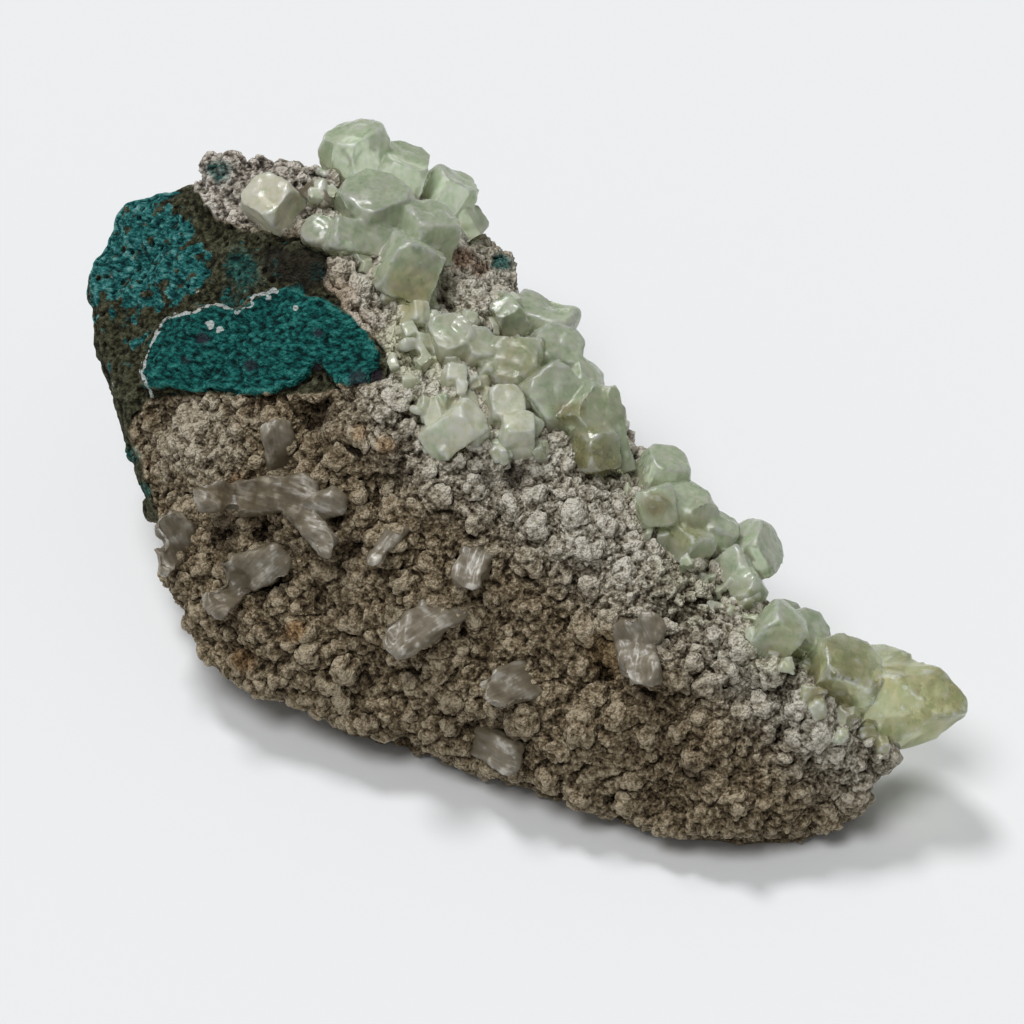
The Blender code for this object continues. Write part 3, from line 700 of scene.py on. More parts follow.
def balls_mesh(name, body, middles, radii, subdivisions):
    """A mesh that holds a body's triangles and a ball at each middle."""
    unit, unit_faces = ball(subdivisions)
    points = middles[:, None, :] + unit[None, :, :] * radii[:, None, None]
    faces = unit_faces[None, :, :] + (np.arange(len(middles)) * len(unit))[:, None, None]
    start = points_of(body)
    points = np.concatenate([start, points.reshape(-1, 3)])
    faces = np.concatenate([triangles_of(body), faces.reshape(-1, 3) + len(start)])
    return new_mesh(name, points, faces)


def joined_tree(objects):
    """A search tree over the faces of several objects."""
    points, faces, count = [], [], 0
    for obj in objects:
        own = points_of(obj.data)
        points.append(own)
        faces.append(triangles_of(obj.data) + count)
        count += len(own)
    return BVHTree.FromPolygons(np.concatenate(points).tolist(), np.concatenate(faces).tolist())


def connected(items, neighbours):
    """Groups of items that neighbours link, the largest last."""
    left, groups = set(items), []
    for start in items:
        if start not in left:
            continue
        left.discard(start)
        group, stack = [], [start]
        while stack:
            item = stack.pop()
            group.append(item)
            for other in neighbours(item):
                if other in left:
                    left.discard(other)
                    stack.append(other)
        groups.append(group)
    return sorted(groups, key=len)


def open_rims(bm):
    """Groups of edges that have a face on one side alone."""
    rim = [e for e in bm.edges if len(e.link_faces) == 1]
    return connected(rim, lambda edge: (e for v in edge.verts for e in v.link_edges))


def filled_rock(node, crystals):
    """The rock with its sockets closed, as it was before crystals were set in."""
    bm = editable(node.data)
    walls = []
    for face in bm.faces:
        centre = face.calc_center_median()
        near, _, _, gap = crystals.find_nearest(centre)
        if gap < SOCKET_REACH and (near - centre).normalized().dot(face.normal) > 0.5:
            walls.append(face)
    bmesh.ops.delete(bm, geom=walls, context="FACES")
    islands = connected(bm.faces[:], lambda face: (f for e in face.edges for f in e.link_faces))
    bmesh.ops.delete(bm, geom=[f for island in islands[:-1] for f in island], context="FACES")
    bmesh.ops.holes_fill(bm, edges=[e for group in open_rims(bm) for e in group], sides=0)
    for group in open_rims(bm):
        bmesh.ops.triangle_fill(bm, edges=group, use_beauty=True)
    bmesh.ops.triangulate(bm, faces=bm.faces)
    bmesh.ops.recalc_face_normals(bm, faces=bm.faces)
    return closed_mesh(bm, bpy.data.meshes.new("filled"))


def facing(points, normals):
    """1 where the surface turns to the photograph's camera, 0 where it turns away."""
    rays = EYE - points
    rays /= np.linalg.norm(rays, axis=1)[:, None]
    return ease(np.sum(rays * normals, axis=1), -0.05, 0.2)


def sight(px, py):
    """The direction in which the photograph's camera sees a pixel."""
    half = PICTURE_WIDTH / 2
    ray = RIGHT * (px - half) * PIXEL - UP * (py - half) * PIXEL - TOWARD * VIEW_DISTANCE
    return ray / np.linalg.norm(ray)


def outline_field(points, outline, edge=None):
    """Distance to an outline in tens of pixels, positive inside, from -1 to 1."""
    px, py = pixels_of(points)
    distance = inside_distance(px, py, outline)
    if edge:
        ripple = waves(points, EDGE_SWELL, edge.salt) + 0.6 * waves(points, EDGE_RIPPLE, edge.salt + 1)
        distance = distance + edge.ragged * ripple
    return np.clip(distance / 10, -1, 1)


def spots_field(points, kind, seen):
    """How much of one kind of spot a point has."""
    px, py = pixels_of(points)
    wobble = 1 + swells(points, SPOT_BENDS)
    field = np.zeros(len(points))
    for middle_x, middle_y, radius, strength in SPOTS[kind]:
        away = np.hypot(px - middle_x, py - middle_y) * wobble
        field = np.maximum(field, strength * ease(-away, -radius * SPOT_END, -radius * SPOT_CORE))
    return field * seen


def relaxed_normals(mesh, steps):
    normals = relaxed(normals_of(mesh), edges_of(mesh), steps)
    return normals / np.linalg.norm(normals, axis=1)[:, None]


def broken_share(points):
    """1 on the broken basalt, 0 on the crust."""
    return ease(outline_field(points, BROKEN_FACE, BROKEN_EDGE), -0.3, 0.3)


def block_share(points):
    """1 on the bare block of stone at the top, 0 elsewhere."""
    return ease(outline_field(points, TOP_BLOCK, BLOCK_EDGE), -0.5, 0.5)


def plain_body(node, crystals):
    """The rock without its crust."""
    body = modified(filled_rock(node, crystals), skin_of(BODY_VOXEL))
    points = relaxed(points_of(body), edges_of(body), BODY_STEPS)
    set_points(body, points)
    normals = relaxed_normals(body, NORMAL_STEPS)
    seen = facing(points, normals)
    broken = broken_share(points)
    px, py = pixels_of(points)
    outside = BODY_MARGIN * (1 - broken) - inside_distance(px, py, OUTLINE)
    pulled_in = np.clip(outside, 0, MOST_PULLED_IN) * PIXEL
    rows = np.sin((py + ROW_SLANT * px) / ROW_PIXELS + swells(points, ROW_BENDS)) * ROW_HEIGHT
    rows *= ease(outline_field(points, LOWER_FRONT), -1, 1) * seen
    rim = ease(-line_distance(px, py, CRYSTAL_RIM), *RIM_PIXELS) * RIM_SUNK
    pits = spots_field(points, "pit", seen) * PIT_DEPTH
    sunk = (1 - broken) * (CRUST_SUNK + rim) - rows + pits
    fade = ease(points[:, 2], 0.2 * MM, 2 * MM)
    points = points - normals * ((sunk + pulled_in) * fade)[:, None]
    points[:, 2] = np.maximum(points[:, 2], 0)
    set_points(body, points)
    return body


def knobbed_skin(body, numbers, rng):
    """One fine skin around the body and the rounded heads of crust on it."""
    points, normals = points_of(body), relaxed_normals(body, NORMAL_STEPS)
    broken = broken_share(points)
    seen = facing(points, normals)
    allowed = (broken < 0.5) & (points[:, 2] > KNOB_LOWEST) & (spots_field(points, "pit", seen) < 0.4)
    allowed &= outline_field(points, TOP_BLOCK) * seen < 0.3
    chosen = np.flatnonzero(allowed)
    spacing = KNOB_SPACING * (1 + swells(points[chosen], KNOB_VARIETY))
    places = thinned(points[chosen], spacing, rng)
    kept = chosen[places]
    radii = spacing[places] * numbers.uniform(*KNOB_RADIUS, len(kept))
    middles = points[kept] + normals[kept] * (radii * numbers.uniform(*KNOB_RISE, len(kept)))[:, None]
    middles[:, 2] = np.maximum(middles[:, 2], radii)
    skin = modified(balls_mesh("knobs", body, middles, radii, 3), skin_of(SKIN_VOXEL))
    points = relaxed(points_of(skin), edges_of(skin), SKIN_STEPS)
    bent_share = (1 - broken_share(points)) * ease(points[:, 2], 0.2 * MM, 3 * MM)
    set_points(skin, points + bends(points, KNOB_BENDS) * bent_share[:, None])
    return skin


def domes(points, noise):
    """Rounded heads that meet in creases, each with its own height."""
    first, owner = cells(points, noise.size, noise.salt)
    return np.clip(1 - (first / DOME_REACH) ** 2, 0, 1) * (DOME_LOWEST + DOME_VARIETY * owner) * noise.height


def crust_relief(points, seen):
    """How far the crust stands out: lumps, buds on the lumps, and grains on the buds."""
    bent = points + bends(points, LUMP_BENDS)
    calm = 1 - FINE_CALM * ease(outline_field(points, FINE_FRONT), -1, 1) * seen
    block = block_share(points) * seen
    buds = domes(bent, BUDS)
    gaps = ease(rough(points, GAPS, 3), *GAP_RANGE) * GAP_DEPTH
    on_crust = (domes(bent, LUMPS) - gaps) * calm + buds
    on_block = rough(points, BLOCKS, 4) + buds / 2
    return (1 - block) * on_crust + block * on_block + domes(points, GRAINS) + rough(points, CRUMBS, 3)


def basalt_relief(points, seen):
    """How far the broken face stands out: a pebbly slab of clay, and hackles, ledges and holes around it."""
    slab = ease(outline_field(points, TEAL_SLAB, SLAB_EDGE) * seen, *SLAB_RANGE)
    along = np.stack([points @ RIGHT / 2 + points @ UP / 5, points @ UP, points @ TOWARD], axis=1)
    pebbles = domes(along, PEBBLES) + rough(along, PEBBLE_SWELLS, 3)
    ledges = np.abs(rough(points, LEDGES, 3))
    first, owner = cells(points, HOLES.size, HOLES.salt)
    holes = ease(-first, -0.4, -0.1) * (owner < HOLE_SHARE) * HOLES.height
    px, py = pixels_of(points)
    seam_away = line_distance(px + swells(points, SEAM_BENDS), py, WHITE_SEAM)
    seam = ease(-seam_away, -3, -1) * seen * SEAM_HEIGHT
    return slab * (SLAB_HEIGHT + pebbles) + (1 - slab) * (rough(points, HACKLES, 4) - ledges - holes) + seam


def worked_skin(skin):
    """The finest relief: heads and grains on the crust, fractures on the basalt."""
    points, normals = points_of(skin), relaxed_normals(skin, NORMAL_STEPS)
    near = relaxed(points, edges_of(skin), OPEN_STEPS)
    bulge = np.sum((points - near) * normals, axis=1)
    open_share = ease(bulge, -0.22 * MM, 0.02 * MM)
    broken = broken_share(points)
    seen = facing(points, normals)
    px, py = pixels_of(points)
    overhang = np.clip(CRUST_MARGIN - inside_distance(px, py, OUTLINE), 0, CRUST_MARGIN) * PIXEL
    relief = np.zeros(len(points))
    some = broken < 1
    crust = crust_relief(points[some], seen[some]) * (0.45 + 0.55 * open_share[some]) - overhang[some] * 0.8
    relief[some] = (1 - broken[some]) * crust
    some = broken > 0
    relief[some] += broken[some] * basalt_relief(points[some], seen[some])
    fade = ease(points[:, 2], 0.05 * MM, 1.5 * MM)
    points = points + normals * (relief * fade)[:, None]
    points[:, 2] = np.maximum(points[:, 2], 0)
    set_points(skin, points)


def fill_cut(bm):
    """Close the opening that a cut left."""
    rim = [e for e in bm.edges if len(e.link_faces) == 1]
    made = bmesh.ops.holes_fill(bm, edges=rim, sides=0)["faces"]
    for face in made:
        face.material_index = 1
        face.smooth = False
    bmesh.ops.triangulate(bm, faces=made)


def cut(bm, place, direction):
    """Keep what lies ahead of a plane, closed where it is cut."""
    everything = bm.verts[:] + bm.edges[:] + bm.faces[:]
    bmesh.ops.bisect_plane(bm, geom=everything, plane_co=place, plane_no=direction, clear_inner=True)
    fill_cut(bm)


def set_underside(mesh):
    """Cut the rock flat where it rests."""
    bm = bmesh.new()
    bm.from_mesh(mesh)
    cut(bm, (0, 0, UNDERSIDE_LEVEL), (0, 0, 1))
    for vert in bm.verts:
        if vert.co.z < UNDERSIDE_LEVEL + WELD:
            vert.co.z = 0
    closed_mesh(bm, mesh)


def slabs_of(mesh):
    """The rock in pieces from left to right, each closed."""
    bounds = (-math.inf, *CUTS, math.inf)
    for number, (low, high) in enumerate(zip(bounds, bounds[1:]), 1):
        bm = bmesh.new()
        bm.from_mesh(mesh)
        if low > -math.inf:
            cut(bm, (low, 0, 0), (1, 0, 0))
        if high < math.inf:
            cut(bm, (high, 0, 0), (-1, 0, 0))
        yield f"rock_{number}", closed_mesh(bm, mesh.copy())


def add_fields(mesh, body_tree):
    """Attributes that the rock's material reads."""
    points, normals = points_of(mesh), normals_of(mesh)
    edges = edges_of(mesh)
    smooth = relaxed_normals(mesh, FACING_STEPS)
    seen = facing(points, smooth)
    near = relaxed(points, edges, NEAR_STEPS)
    far = relaxed(near, edges, FAR_STEPS)
    px, py = pixels_of(points)
    hidden = rough(points, HIDDEN_COLOURS, 3)
    upper = ease(hidden + (points[:, 2] - HIDDEN_PALE_LEVEL) / HIDDEN_PALE_FADE, -0.6, 0.8)
    wobble = swells(points, SEAM_COLOUR_BENDS)
    seam_away = line_distance(px + wobble, py + wobble, WHITE_SEAM)
    pale = ease(inside_distance(px, py, PALE_CREST), -45, 35)
    fields = {
        # Painted shade: how deep a point lies in a fine crevice, where the material darkens the colour
        "crevice_shade": np.sum((near - points) * normals, axis=1) / (0.1 * MM),
        # Painted shade: how deep a point lies in a wider hollow, where the material darkens the colour
        "hollow_shade": np.sum((far - near) * smooth, axis=1) / (0.3 * MM),
        # How far the skin stands above the plain body; the crust is painted darker with shade where this is
        # low, between its heads
        "height": np.array([body_tree.find_nearest(Vector(p))[3] for p in points]) / (3 * MM),
        "broken": outline_field(points, BROKEN_FACE, BROKEN_EDGE),
        "slab": np.where(seen > 0.3, outline_field(points, TEAL_SLAB, SLAB_EDGE), -1),
        "teal_end": np.maximum(outline_field(points, TEAL_END, TEAL_END_EDGE) * seen, hidden - 0.9 * seen),
        # Painted shadow under the crust's overhang
        "shade": ease(outline_field(points, OVERHANG_SHADOW, OVERHANG_SHADOW_EDGE), -0.5, 0.6) * seen,
        "pale": pale * seen + (1 - seen) * (0.35 * upper + 0.25),
        "block": block_share(points) * seen,
        "seam": ease(-seam_away, -4, -1.2) * seen,
    }
    set_fields(mesh, fields, ROCK_SPOTS, points, seen)


def build_rock(nodes, crystals):
    """The rock's pieces; returns search trees over its plain body and its finished skin."""
    numbers, rng = np.random.default_rng(1), random.Random(7)
    body = plain_body(nodes["basalt_matrix"], crystals)
    body_tree = tree_of(body)
    skin = knobbed_skin(body, numbers, rng)
    worked_skin(skin)
    skin = modified(skin, fewer_triangles(SKIN_TRIANGLES / (2 * len(skin.polygons))))
    skin_tree = tree_of(skin)
    add_fields(skin, body_tree)
    skin.materials.clear()
    skin.materials.append(rock_material())
    skin.materials.append(plain("cut basalt", CUT_COLOUR, 0.9))
    skin.shade_smooth()
    set_underside(skin)
    for name, slab in slabs_of(skin):
        piece = new_object(name, slab)
        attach(piece, "root")
        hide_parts("basalt_matrix")
    return body_tree, skin_tree


class Graph:
    """Short ways to add nodes to a material."""

    def __init__(self, name):
        self.material = bpy.data.materials.new(name)
        self.material.use_nodes = True
        self.tree = self.material.node_tree
        self.shader = self.tree.nodes["Principled BSDF"]
        self.place = self.node("TexCoord").outputs["Object"]

    def node(self, kind, **settings):
        node = self.tree.nodes.new("ShaderNode" + kind)
        for name, value in settings.items():
            setattr(node, name, value)
        return node

    def fill(self, node, *values):
        """Give a node's first inputs their values."""
        for value, socket in zip(values, node.inputs):
            self.put(value, socket)
        return node.outputs[0]

    def put(self, value, socket):
        if isinstance(value, bpy.types.NodeSocket):
            self.tree.links.new(value, socket)
        elif isinstance(value, tuple) and len(value) == 3 and socket.type == "RGBA":
            socket.default_value = (*value, 1)
        else:
            socket.default_value = value

    def math(self, operation, a, b, c=0.0):
        return self.fill(self.node("Math", operation=operation), a, b, c)

    def total(self, start, *parts):
        """A start with each value added times its share."""
        for value, share in parts:
            start = self.math("MULTIPLY_ADD", value, share, start)
        return start

    def field(self, name):
        return self.node("Attribute", attribute_name=name).outputs["Fac"]

    def between(self, value, low, high):
        """0 below low, 1 above high."""
        return self.fill(self.node("MapRange", interpolation_type="SMOOTHSTEP"), value, low, high)

    def mix(self, share, a, b, blend="MIX"):
        node = self.node("Mix", data_type="RGBA", blend_type=blend)
        for value, socket in zip((share, a, b), (node.inputs[0], node.inputs[6], node.inputs[7])):
            self.put(value, socket)
        return node.outputs[2]

    def times(self, a, b):
        return self.mix(1, a, b, "MULTIPLY")

    def over(self, colour, name, share, other):
        """Another colour laid over one where a field is strong."""
        return self.mix(self.math("MULTIPLY", self.field(name), share), colour, other)

    def tinted(self, colour, tints):
        """A colour with tints, each where its own field is strong."""
        for name, share, tint in tints:
            colour = self.over(colour, name, share, self.times(colour, tint))
        return colour

    def stretched(self, rotation, scale):
        """The object's places, turned and stretched."""
        node = self.node("Mapping")
        for value, socket in ((self.place, "Vector"), (rotation, "Rotation"), (scale, "Scale")):
            self.put(value, node.inputs[socket])
        return node.outputs[0]

    def noise(self, size, detail, place=None):
        node = self.node("TexNoise")
        self.put(self.place if place is None else place, node.inputs["Vector"])
        self.put(1 / size, node.inputs["Scale"])
        self.put(detail, node.inputs["Detail"])
        return node.outputs["Fac"]

    def grains(self, size):
        node = self.node("TexVoronoi")
        self.put(self.place, node.inputs["Vector"])
        self.put(1 / size, node.inputs["Scale"])
        return node.outputs["Distance"]

    def strands(self, size):
        """Noise in lines that run along a blade."""
        along = self.math("MULTIPLY", self.field("along"), 0.1)
        return self.noise(size, 3, self.fill(self.node("CombineXYZ"), along, self.field("across")))

    def ramp(self, value, stops):
        node = self.node("ValToRGB")
        elements = node.color_ramp.elements
        while len(elements) < len(stops):
            elements.new(0.5)
        for element, (where, colour) in zip(elements, stops):
            element.position = where
            element.color = (*colour, 1)
        return self.fill(node, value)

    def bump(self, height, distance, strength):
        node = self.node("Bump")
        self.put(strength, node.inputs["Strength"])
        self.put(distance, node.inputs["Distance"])
        self.put(height, node.inputs["Height"])
        self.put(node.outputs[0], self.shader.inputs["Normal"])

    def finish(self, **inputs):
        for name, value in inputs.items():
            self.put(value, self.shader.inputs[name.replace("_", " ")])
        return self.material


def crust_colour(g, speckle, grain):
    """The crust: darkened with painted shade in its crevices and low between its heads, so that it is light
    on its tops, with a bare block of stone at the top.
    """
    # Painted shade: the crust darkens low between its heads, in its crevices and in its hollows
    top = g.total(
        0.44, (g.field("height"), 0.3), (g.field("crevice_shade"), -0.15), (g.field("hollow_shade"), -0.12),
        (g.math("SUBTRACT", speckle, 0.5), 1.2), (g.math("SUBTRACT", grain, 0.4), -0.45),
        (g.math("SUBTRACT", g.noise(7 * MM, 3), 0.5), 0.5), (g.field("white_spot"), 0.32),
    )
    pale_share = g.math("MAXIMUM", g.math("MULTIPLY", g.field("pale"), 0.8), g.field("white_spot"))
    crust = g.tinted(g.mix(pale_share, g.ramp(top, TAN_CRUST), g.ramp(top, PALE_CRUST)), CRUST_TINTS)
    # The bare block, darkened with painted shade in its crevices
    block = g.ramp(g.total(g.noise(1.6 * MM, 5), (g.field("crevice_shade"), -0.1)), BARE_BLOCK)
    block_edge = g.total(g.field("block"), (g.math("SUBTRACT", g.noise(2.2 * MM, 3), 0.5), 1.1))
    return g.mix(g.between(block_edge, 0.35, 0.65), crust, block)


def face_colour(g, teal):
    """The broken basalt: dark olive brown with teal clay, a white seam, white flecks and violet spots."""
    # The basalt, darkened with painted shade in its crevices
    basalt = g.ramp(g.total(g.noise(0.9 * MM, 5), (g.field("crevice_shade"), -0.09)), BASALT)
    patches = g.total(g.noise(1.9 * MM, 6), (g.field("teal_end"), 0.16))
    patch = g.mix(g.noise(2.6 * MM, 3), teal, g.times(teal, PALE_TEAL))
    face = g.mix(g.between(patches, 0.53, 0.6), basalt, patch)
    slab_edge = g.total(g.field("slab"), (g.math("SUBTRACT", g.noise(0.8 * MM, 4), 0.5), 0.6))
    face = g.mix(g.between(slab_edge, -0.06, 0.06), face, teal)
    seam = g.total(g.field("seam"), (g.noise(1.3 * MM, 4), 1.8))
    face = g.mix(g.between(seam, 1.6, 1.85), face, SEAM_COLOUR)
    face = g.over(face, "violet_spot", 0.85, VIOLET_COLOUR)
    fleck = g.total(g.field("fleck_spot"), (g.noise(0.9 * MM, 4), 1.6))
    return g.mix(g.between(fleck, 1.6, 1.8), face, FLECK_COLOUR)


def rock_material():
    g = Graph("crusted basalt")
    speckle = g.noise(0.42 * MM, 4)
    grain = g.grains(0.5 * MM)
    clay_noise = g.noise(0.7 * MM, 5, g.stretched((0.8, 0.0, 0.42), (0.6, 1.2, 1.2)))
    # The teal clay, darkened with painted shade in its crevices
    teal = g.ramp(g.total(clay_noise, (g.field("crevice_shade"), -0.09)), TEAL_CLAY)
    crust = crust_colour(g, speckle, grain)
    colour = g.mix(g.between(g.field("broken"), -0.15, 0.15), crust, face_colour(g, teal))
    colour = g.over(colour, "teal_spot", 0.9, teal)
    # Painted shadow under the crust's overhang, almost black
    colour = g.over(colour, "shade", 0.75, OVERHANG_SHADOW_COLOUR)
    # Painted shade in the pits
    colour = g.tinted(colour, PAINTED_PIT_SHADE)
    g.bump(g.total(g.math("SUBTRACT", 1.0, grain), (speckle, 1.4)), 0.5 * MM, 1.0)
    return g.finish(Base_Color=colour, Roughness=0.9, Specular_IOR_Level=0.15)


def crystal_material(name, transmission):
    """Cloudy apophyllite, whiter along its edges with frosting and a painted highlight."""
    g = Graph(name)
    veil = g.noise(0.8 * MM, 4, g.stretched((0.5, 0.3, 0.0), (1.0, 1.0, 0.35)))
    cloud = g.total(g.noise(2.4 * MM, 5), (g.math("SUBTRACT", veil, 0.5), 0.7))
    cream = g.math("MULTIPLY", g.field("cream"), g.between(g.noise(3 * MM, 3), 0.3, 0.55))
    body = g.mix(cream, g.ramp(cloud, GREEN_CRYSTAL), g.ramp(cloud, CREAM_CRYSTAL))
    # Painted in: the dark rock seen through each crystal near its foot; then olive and tan patches
    body = g.tinted(body, CRYSTAL_TINTS)
    body = g.over(body, "brown_spot", 0.7, BROWN_COLOUR)
    # Whiter along convex edges: frosting, and a painted highlight
    frost_and_highlight = g.math("MULTIPLY", g.field("edge"), g.between(g.noise(0.9 * MM, 4), 0.38, 0.6))
    body = g.mix(g.math("MULTIPLY", frost_and_highlight, 0.85), body, FROST_AND_HIGHLIGHT_COLOUR)
    g.bump(g.math("ADD", g.noise(0.7 * MM, 5), g.math("MULTIPLY", veil, 0.7)), 0.05 * MM, 0.7)
    return g.finish(Base_Color=body, Roughness=0.24, IOR=1.535, Transmission_Weight=transmission)


def stilbite_material():
    g = Graph("pearly stilbite")
    lines = g.strands(0.35 * MM)
    tone = g.math("MULTIPLY_ADD", g.noise(2.2 * MM, 5), 0.72, g.math("MULTIPLY", lines, 0.28))
    # Where the tone runs high the blades turn bright: painted highlights
    body = g.tinted(g.ramp(tone, BLADE_TONES_AND_HIGHLIGHTS), BLADE_TINTS)
    body = g.over(body, "root", 0.75, BLADE_ROOT_COLOUR)
    g.bump(lines, 0.05 * MM, 0.5)
    return g.finish(Base_Color=body, Roughness=0.34, IOR=1.5, Transmission_Weight=0.45)


def box_points(middle, axes, sizes, rng):
    """Corners of a block that is a little askew."""
    corners = []
    for corner in range(8):
        signs = [1 if corner >> axis & 1 else -1 for axis in range(3)]
        push = [sign * size / 2 * rng.uniform(*BLOCK_CORNERS) for sign, size in zip(signs, sizes)]
        corners.append(middle + sum((axis * amount for axis, amount in zip(axes, push)), Vector()))
    return corners


def add_block(bm, middle, axes, sizes, rng):
    """Add a convex block to a mesh."""
    verts = [bm.verts.new(corner) for corner in box_points(middle, axes, sizes, rng)]
    made = bmesh.ops.convex_hull(bm, input=verts)
    for key in ("geom_interior", "geom_unused"):
        inner = [item for item in made[key] if isinstance(item, bmesh.types.BMVert)]
        bmesh.ops.delete(bm, geom=inner, context="VERTS")


def random_vector(rng):
    return Vector((rng.uniform(-1, 1), rng.uniform(-1, 1), rng.uniform(-1, 1)))


def grown_blocks(bm, rng):
    """Smaller crystals grown parallel on the faces of a crystal, a little out of them."""
    plans = []
    for face in [f for f in bm.faces if f.calc_area() > GROWN_LEAST_FACE]:
        edge = max(face.edges, key=lambda e: e.calc_length())
        across = (edge.verts[1].co - edge.verts[0].co).normalized()
        normal = face.normal.copy()
        corners = [v.co.copy() for v in face.verts]
        for _ in range(1 + int(face.calc_area() / GROWN_EACH_FACE)):
            weights = [rng.random() + 0.7 for _ in corners]
            spot = sum((c * w for c, w in zip(corners, weights)), Vector()) / sum(weights)
            plans.append((spot, (across, normal.cross(across), normal), math.sqrt(face.calc_area())))
    for spot, axes, width in plans:
        size = width * rng.uniform(*GROWN_WIDTH)
        height = width * GROWN_HEIGHT
        out = rng.uniform(*GROWN_OUT) * MM
        tilt = random_vector(rng) * GROWN_TILT
        turned = [(axis + tilt.cross(axis)).normalized() for axis in axes]
        middle = spot + axes[2] * (out - height / 2)
        add_block(bm, middle, turned, (size, size * rng.uniform(*GROWN_LENGTH), height), rng)


def face_relief(points, kind, lengthwise):
    """How far the faces of a crystal or a blade stand out at each point."""
    if kind == "apophyllite":
        return swells(points, CRYSTAL_SWELLS) + rough(points, CRYSTAL_STEPS, 2)
    push = rough(lengthwise / (BLADE_STRETCH, 1, 1), BLADE_LINES, 3) + swells(points, BLADE_SWELLS)
    return push + BLADE_RISE - BLADE_SINK * ease(rough(points, BLADE_SINKS, 2), -0.1, 0.6)


def finished_crystal(mesh, name, kind, body_tree, material, voxel, kept, root=1.0):
    """The crystal's worked surface as a piece of its own."""
    mesh = modified(mesh, skin_of(voxel), ("SMOOTH", {"iterations": SMOOTH_STEPS[kind]}))
    points, normals = points_of(mesh), normals_of(mesh)
    middle = points.mean(axis=0)
    some = points[:: max(1, len(points) // AXIS_POINTS)]
    _, _, axes = np.linalg.svd(some - middle, full_matrices=False)
    lengthwise = (points - middle) @ axes.T
    set_points(mesh, points + normals * face_relief(points, kind, lengthwise)[:, None])
    points, normals = points_of(mesh), normals_of(mesh)
    near = relaxed(points, edges_of(mesh), EDGE_STEPS)
    from_body = np.array([body_tree.find_nearest(Vector(p))[3] for p in points])
    seen = facing(points, normals)
    fields = {
        # How sharply the surface bulges, where the material paints frosting and a highlight
        "edge": ease(np.sum((points - near) * normals, axis=1), 0.01 * MM, 0.1 * MM),
        # Darker near the rock; on the apophyllite this paints in the dark rock seen through the crystal's
        # foot
        "root": ease(-from_body, -4.0 * MM, -1.4 * MM) * root,
        "along": lengthwise[:, 0],
        "across": lengthwise[:, 1],
        "cream": np.maximum(1 - root, spots_field(points, "cream", seen)),
    }
    set_fields(mesh, fields, CRYSTAL_SPOTS, points, seen)
    mesh.shade_smooth()
    mesh.materials.clear()
    mesh.materials.append(material)
    piece = new_object(name, modified(mesh, fewer_triangles(kept)))
    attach(piece, "root")
    return piece


def build_crystals(nodes, body_tree, cream):
    """The model's crystals and blades, finished."""
    materials = {
        "apophyllite": crystal_material("milky green apophyllite", 0.66),
        "stilbite": stilbite_material(),
    }
    rng = random.Random(3)
    for name, obj in nodes.items():
        if name == "basalt_matrix":
            continue
        kind = name.split("_")[0]
        bm = editable(obj.data)
        if kind == "apophyllite":
            grown_blocks(bm, rng)
        mesh = closed_mesh(bm, bpy.data.meshes.new(name))
        material, root = (cream, CREAM_ROOT) if name in CREAM_CRYSTALS else (materials[kind], 1.0)
        finished = name + "_finished"
        piece = finished_crystal(mesh, finished, kind, body_tree, material, CRYSTAL_VOXEL, CRYSTAL_KEPT, root)
        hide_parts(name)


def small_crystals(skin_tree, body_tree, material):
    """The many small crystals that stand in the crust, where the photograph shows them."""
    rng = random.Random(11)
    bm = bmesh.new()
    for px, py, width in SMALL_CRYSTALS:
        spot, normal, _, _ = skin_tree.ray_cast(Vector(EYE), Vector(sight(px, py)))
        if spot is None:
            continue
        for _ in range(SMALL_COUNT):
            size = width * PIXEL * rng.uniform(*SMALL_WIDTH)
            lean = random_vector(rng)
            up = (normal + lean * SMALL_LEAN + Vector((0, 0, SMALL_UPRIGHT))).normalized()
            side = up.cross(lean).normalized()
            shift = side * width * PIXEL * rng.uniform(*SMALL_SHIFT)
            sizes = (size, size * rng.uniform(*SMALL_DEPTH), size * rng.uniform(*SMALL_LENGTH))
            add_block(bm, spot + shift, (side, up.cross(side), up), sizes, rng)
    mesh = closed_mesh(bm, bpy.data.meshes.new("small crystals"))
    name, kind = "small_crystals", "apophyllite"
    piece = finished_crystal(mesh, name, kind, body_tree, material, SMALL_VOXEL, SMALL_KEPT, SMALL_ROOT)
    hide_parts("apophyllite_crust_middle")


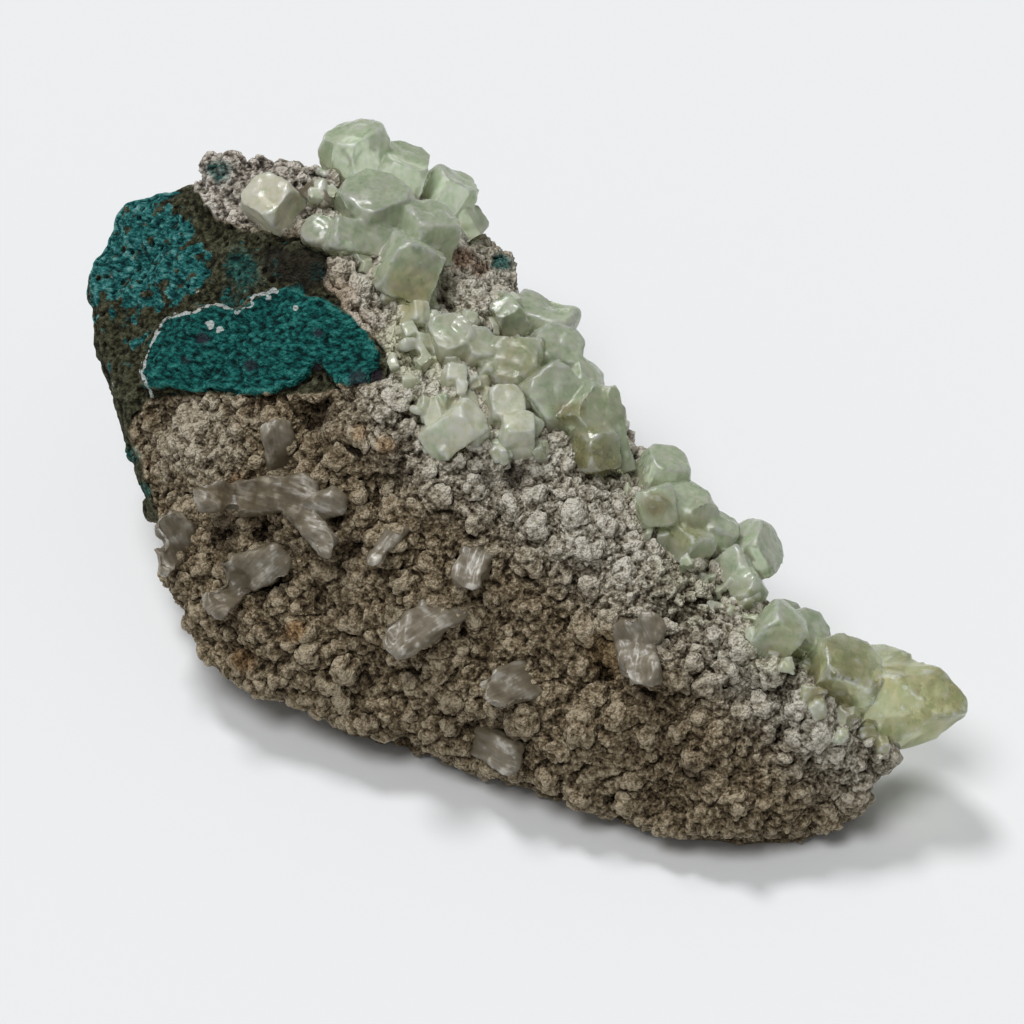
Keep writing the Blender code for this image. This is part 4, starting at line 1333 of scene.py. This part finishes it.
def main():
    """Build everything; returns the model's bounds as they were at first."""
    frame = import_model()
    cad_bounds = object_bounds()
    nodes = frame["nodes"]
    crystals = joined_tree([obj for name, obj in nodes.items() if name != "basalt_matrix"])
    body_tree, skin_tree = build_rock(nodes, crystals)
    cream = crystal_material("cream apophyllite", 0.52)
    build_crystals(nodes, body_tree, cream)
    small_crystals(skin_tree, body_tree, cream)
    stage()
    return cad_bounds


def plain(name, colour, roughness):
    made = bpy.data.materials.new(name)
    made.use_nodes = True
    shader = made.node_tree.nodes["Principled BSDF"]
    shader.inputs["Base Color"].default_value = (*colour, 1)
    shader.inputs["Roughness"].default_value = roughness
    return made


def stage():
    """The camera, the floor and the lights."""
    scene = bpy.context.scene
    camera = bpy.data.objects.new("camera", bpy.data.cameras.new("camera"))
    camera.data.sensor_width = SENSOR_WIDTH
    camera.data.lens = SENSOR_WIDTH * VIEW_DISTANCE / SEEN_WIDTH
    camera.data.clip_start, camera.data.clip_end = CAMERA_RANGE
    camera.location = EYE
    camera.rotation_euler = Vector(TOWARD).to_track_quat("Z", "Y").to_euler()
    scene.collection.objects.link(camera)
    scene.camera = camera

    corners = [(x * FLOOR_REACH, y * FLOOR_REACH, 0) for x, y in ((-1, -1), (1, -1), (1, 1), (-1, 1))]
    floor = new_object("floor", new_mesh("floor", np.array(corners, float), np.array([[0, 1, 2, 3]])))
    floor.data.materials.append(plain("floor", FLOOR_COLOUR, 1.0))

    world = bpy.data.worlds.new("world")
    scene.world = world
    world.use_nodes = True
    background = world.node_tree.nodes["Background"]
    background.inputs["Color"].default_value = (1, 1, 1, 1)
    background.inputs["Strength"].default_value = WORLD_LIGHT
    for light in LIGHTS:
        sun = bpy.data.objects.new(light.name, bpy.data.lights.new(light.name, "SUN"))
        sun.data.energy = light.energy
        sun.data.angle = math.radians(light.angle)
        sun.rotation_euler = Vector(light.source).to_track_quat("Z", "Y").to_euler()
        scene.collection.objects.link(sun)
    scene.view_settings.view_transform = "Standard"


main()
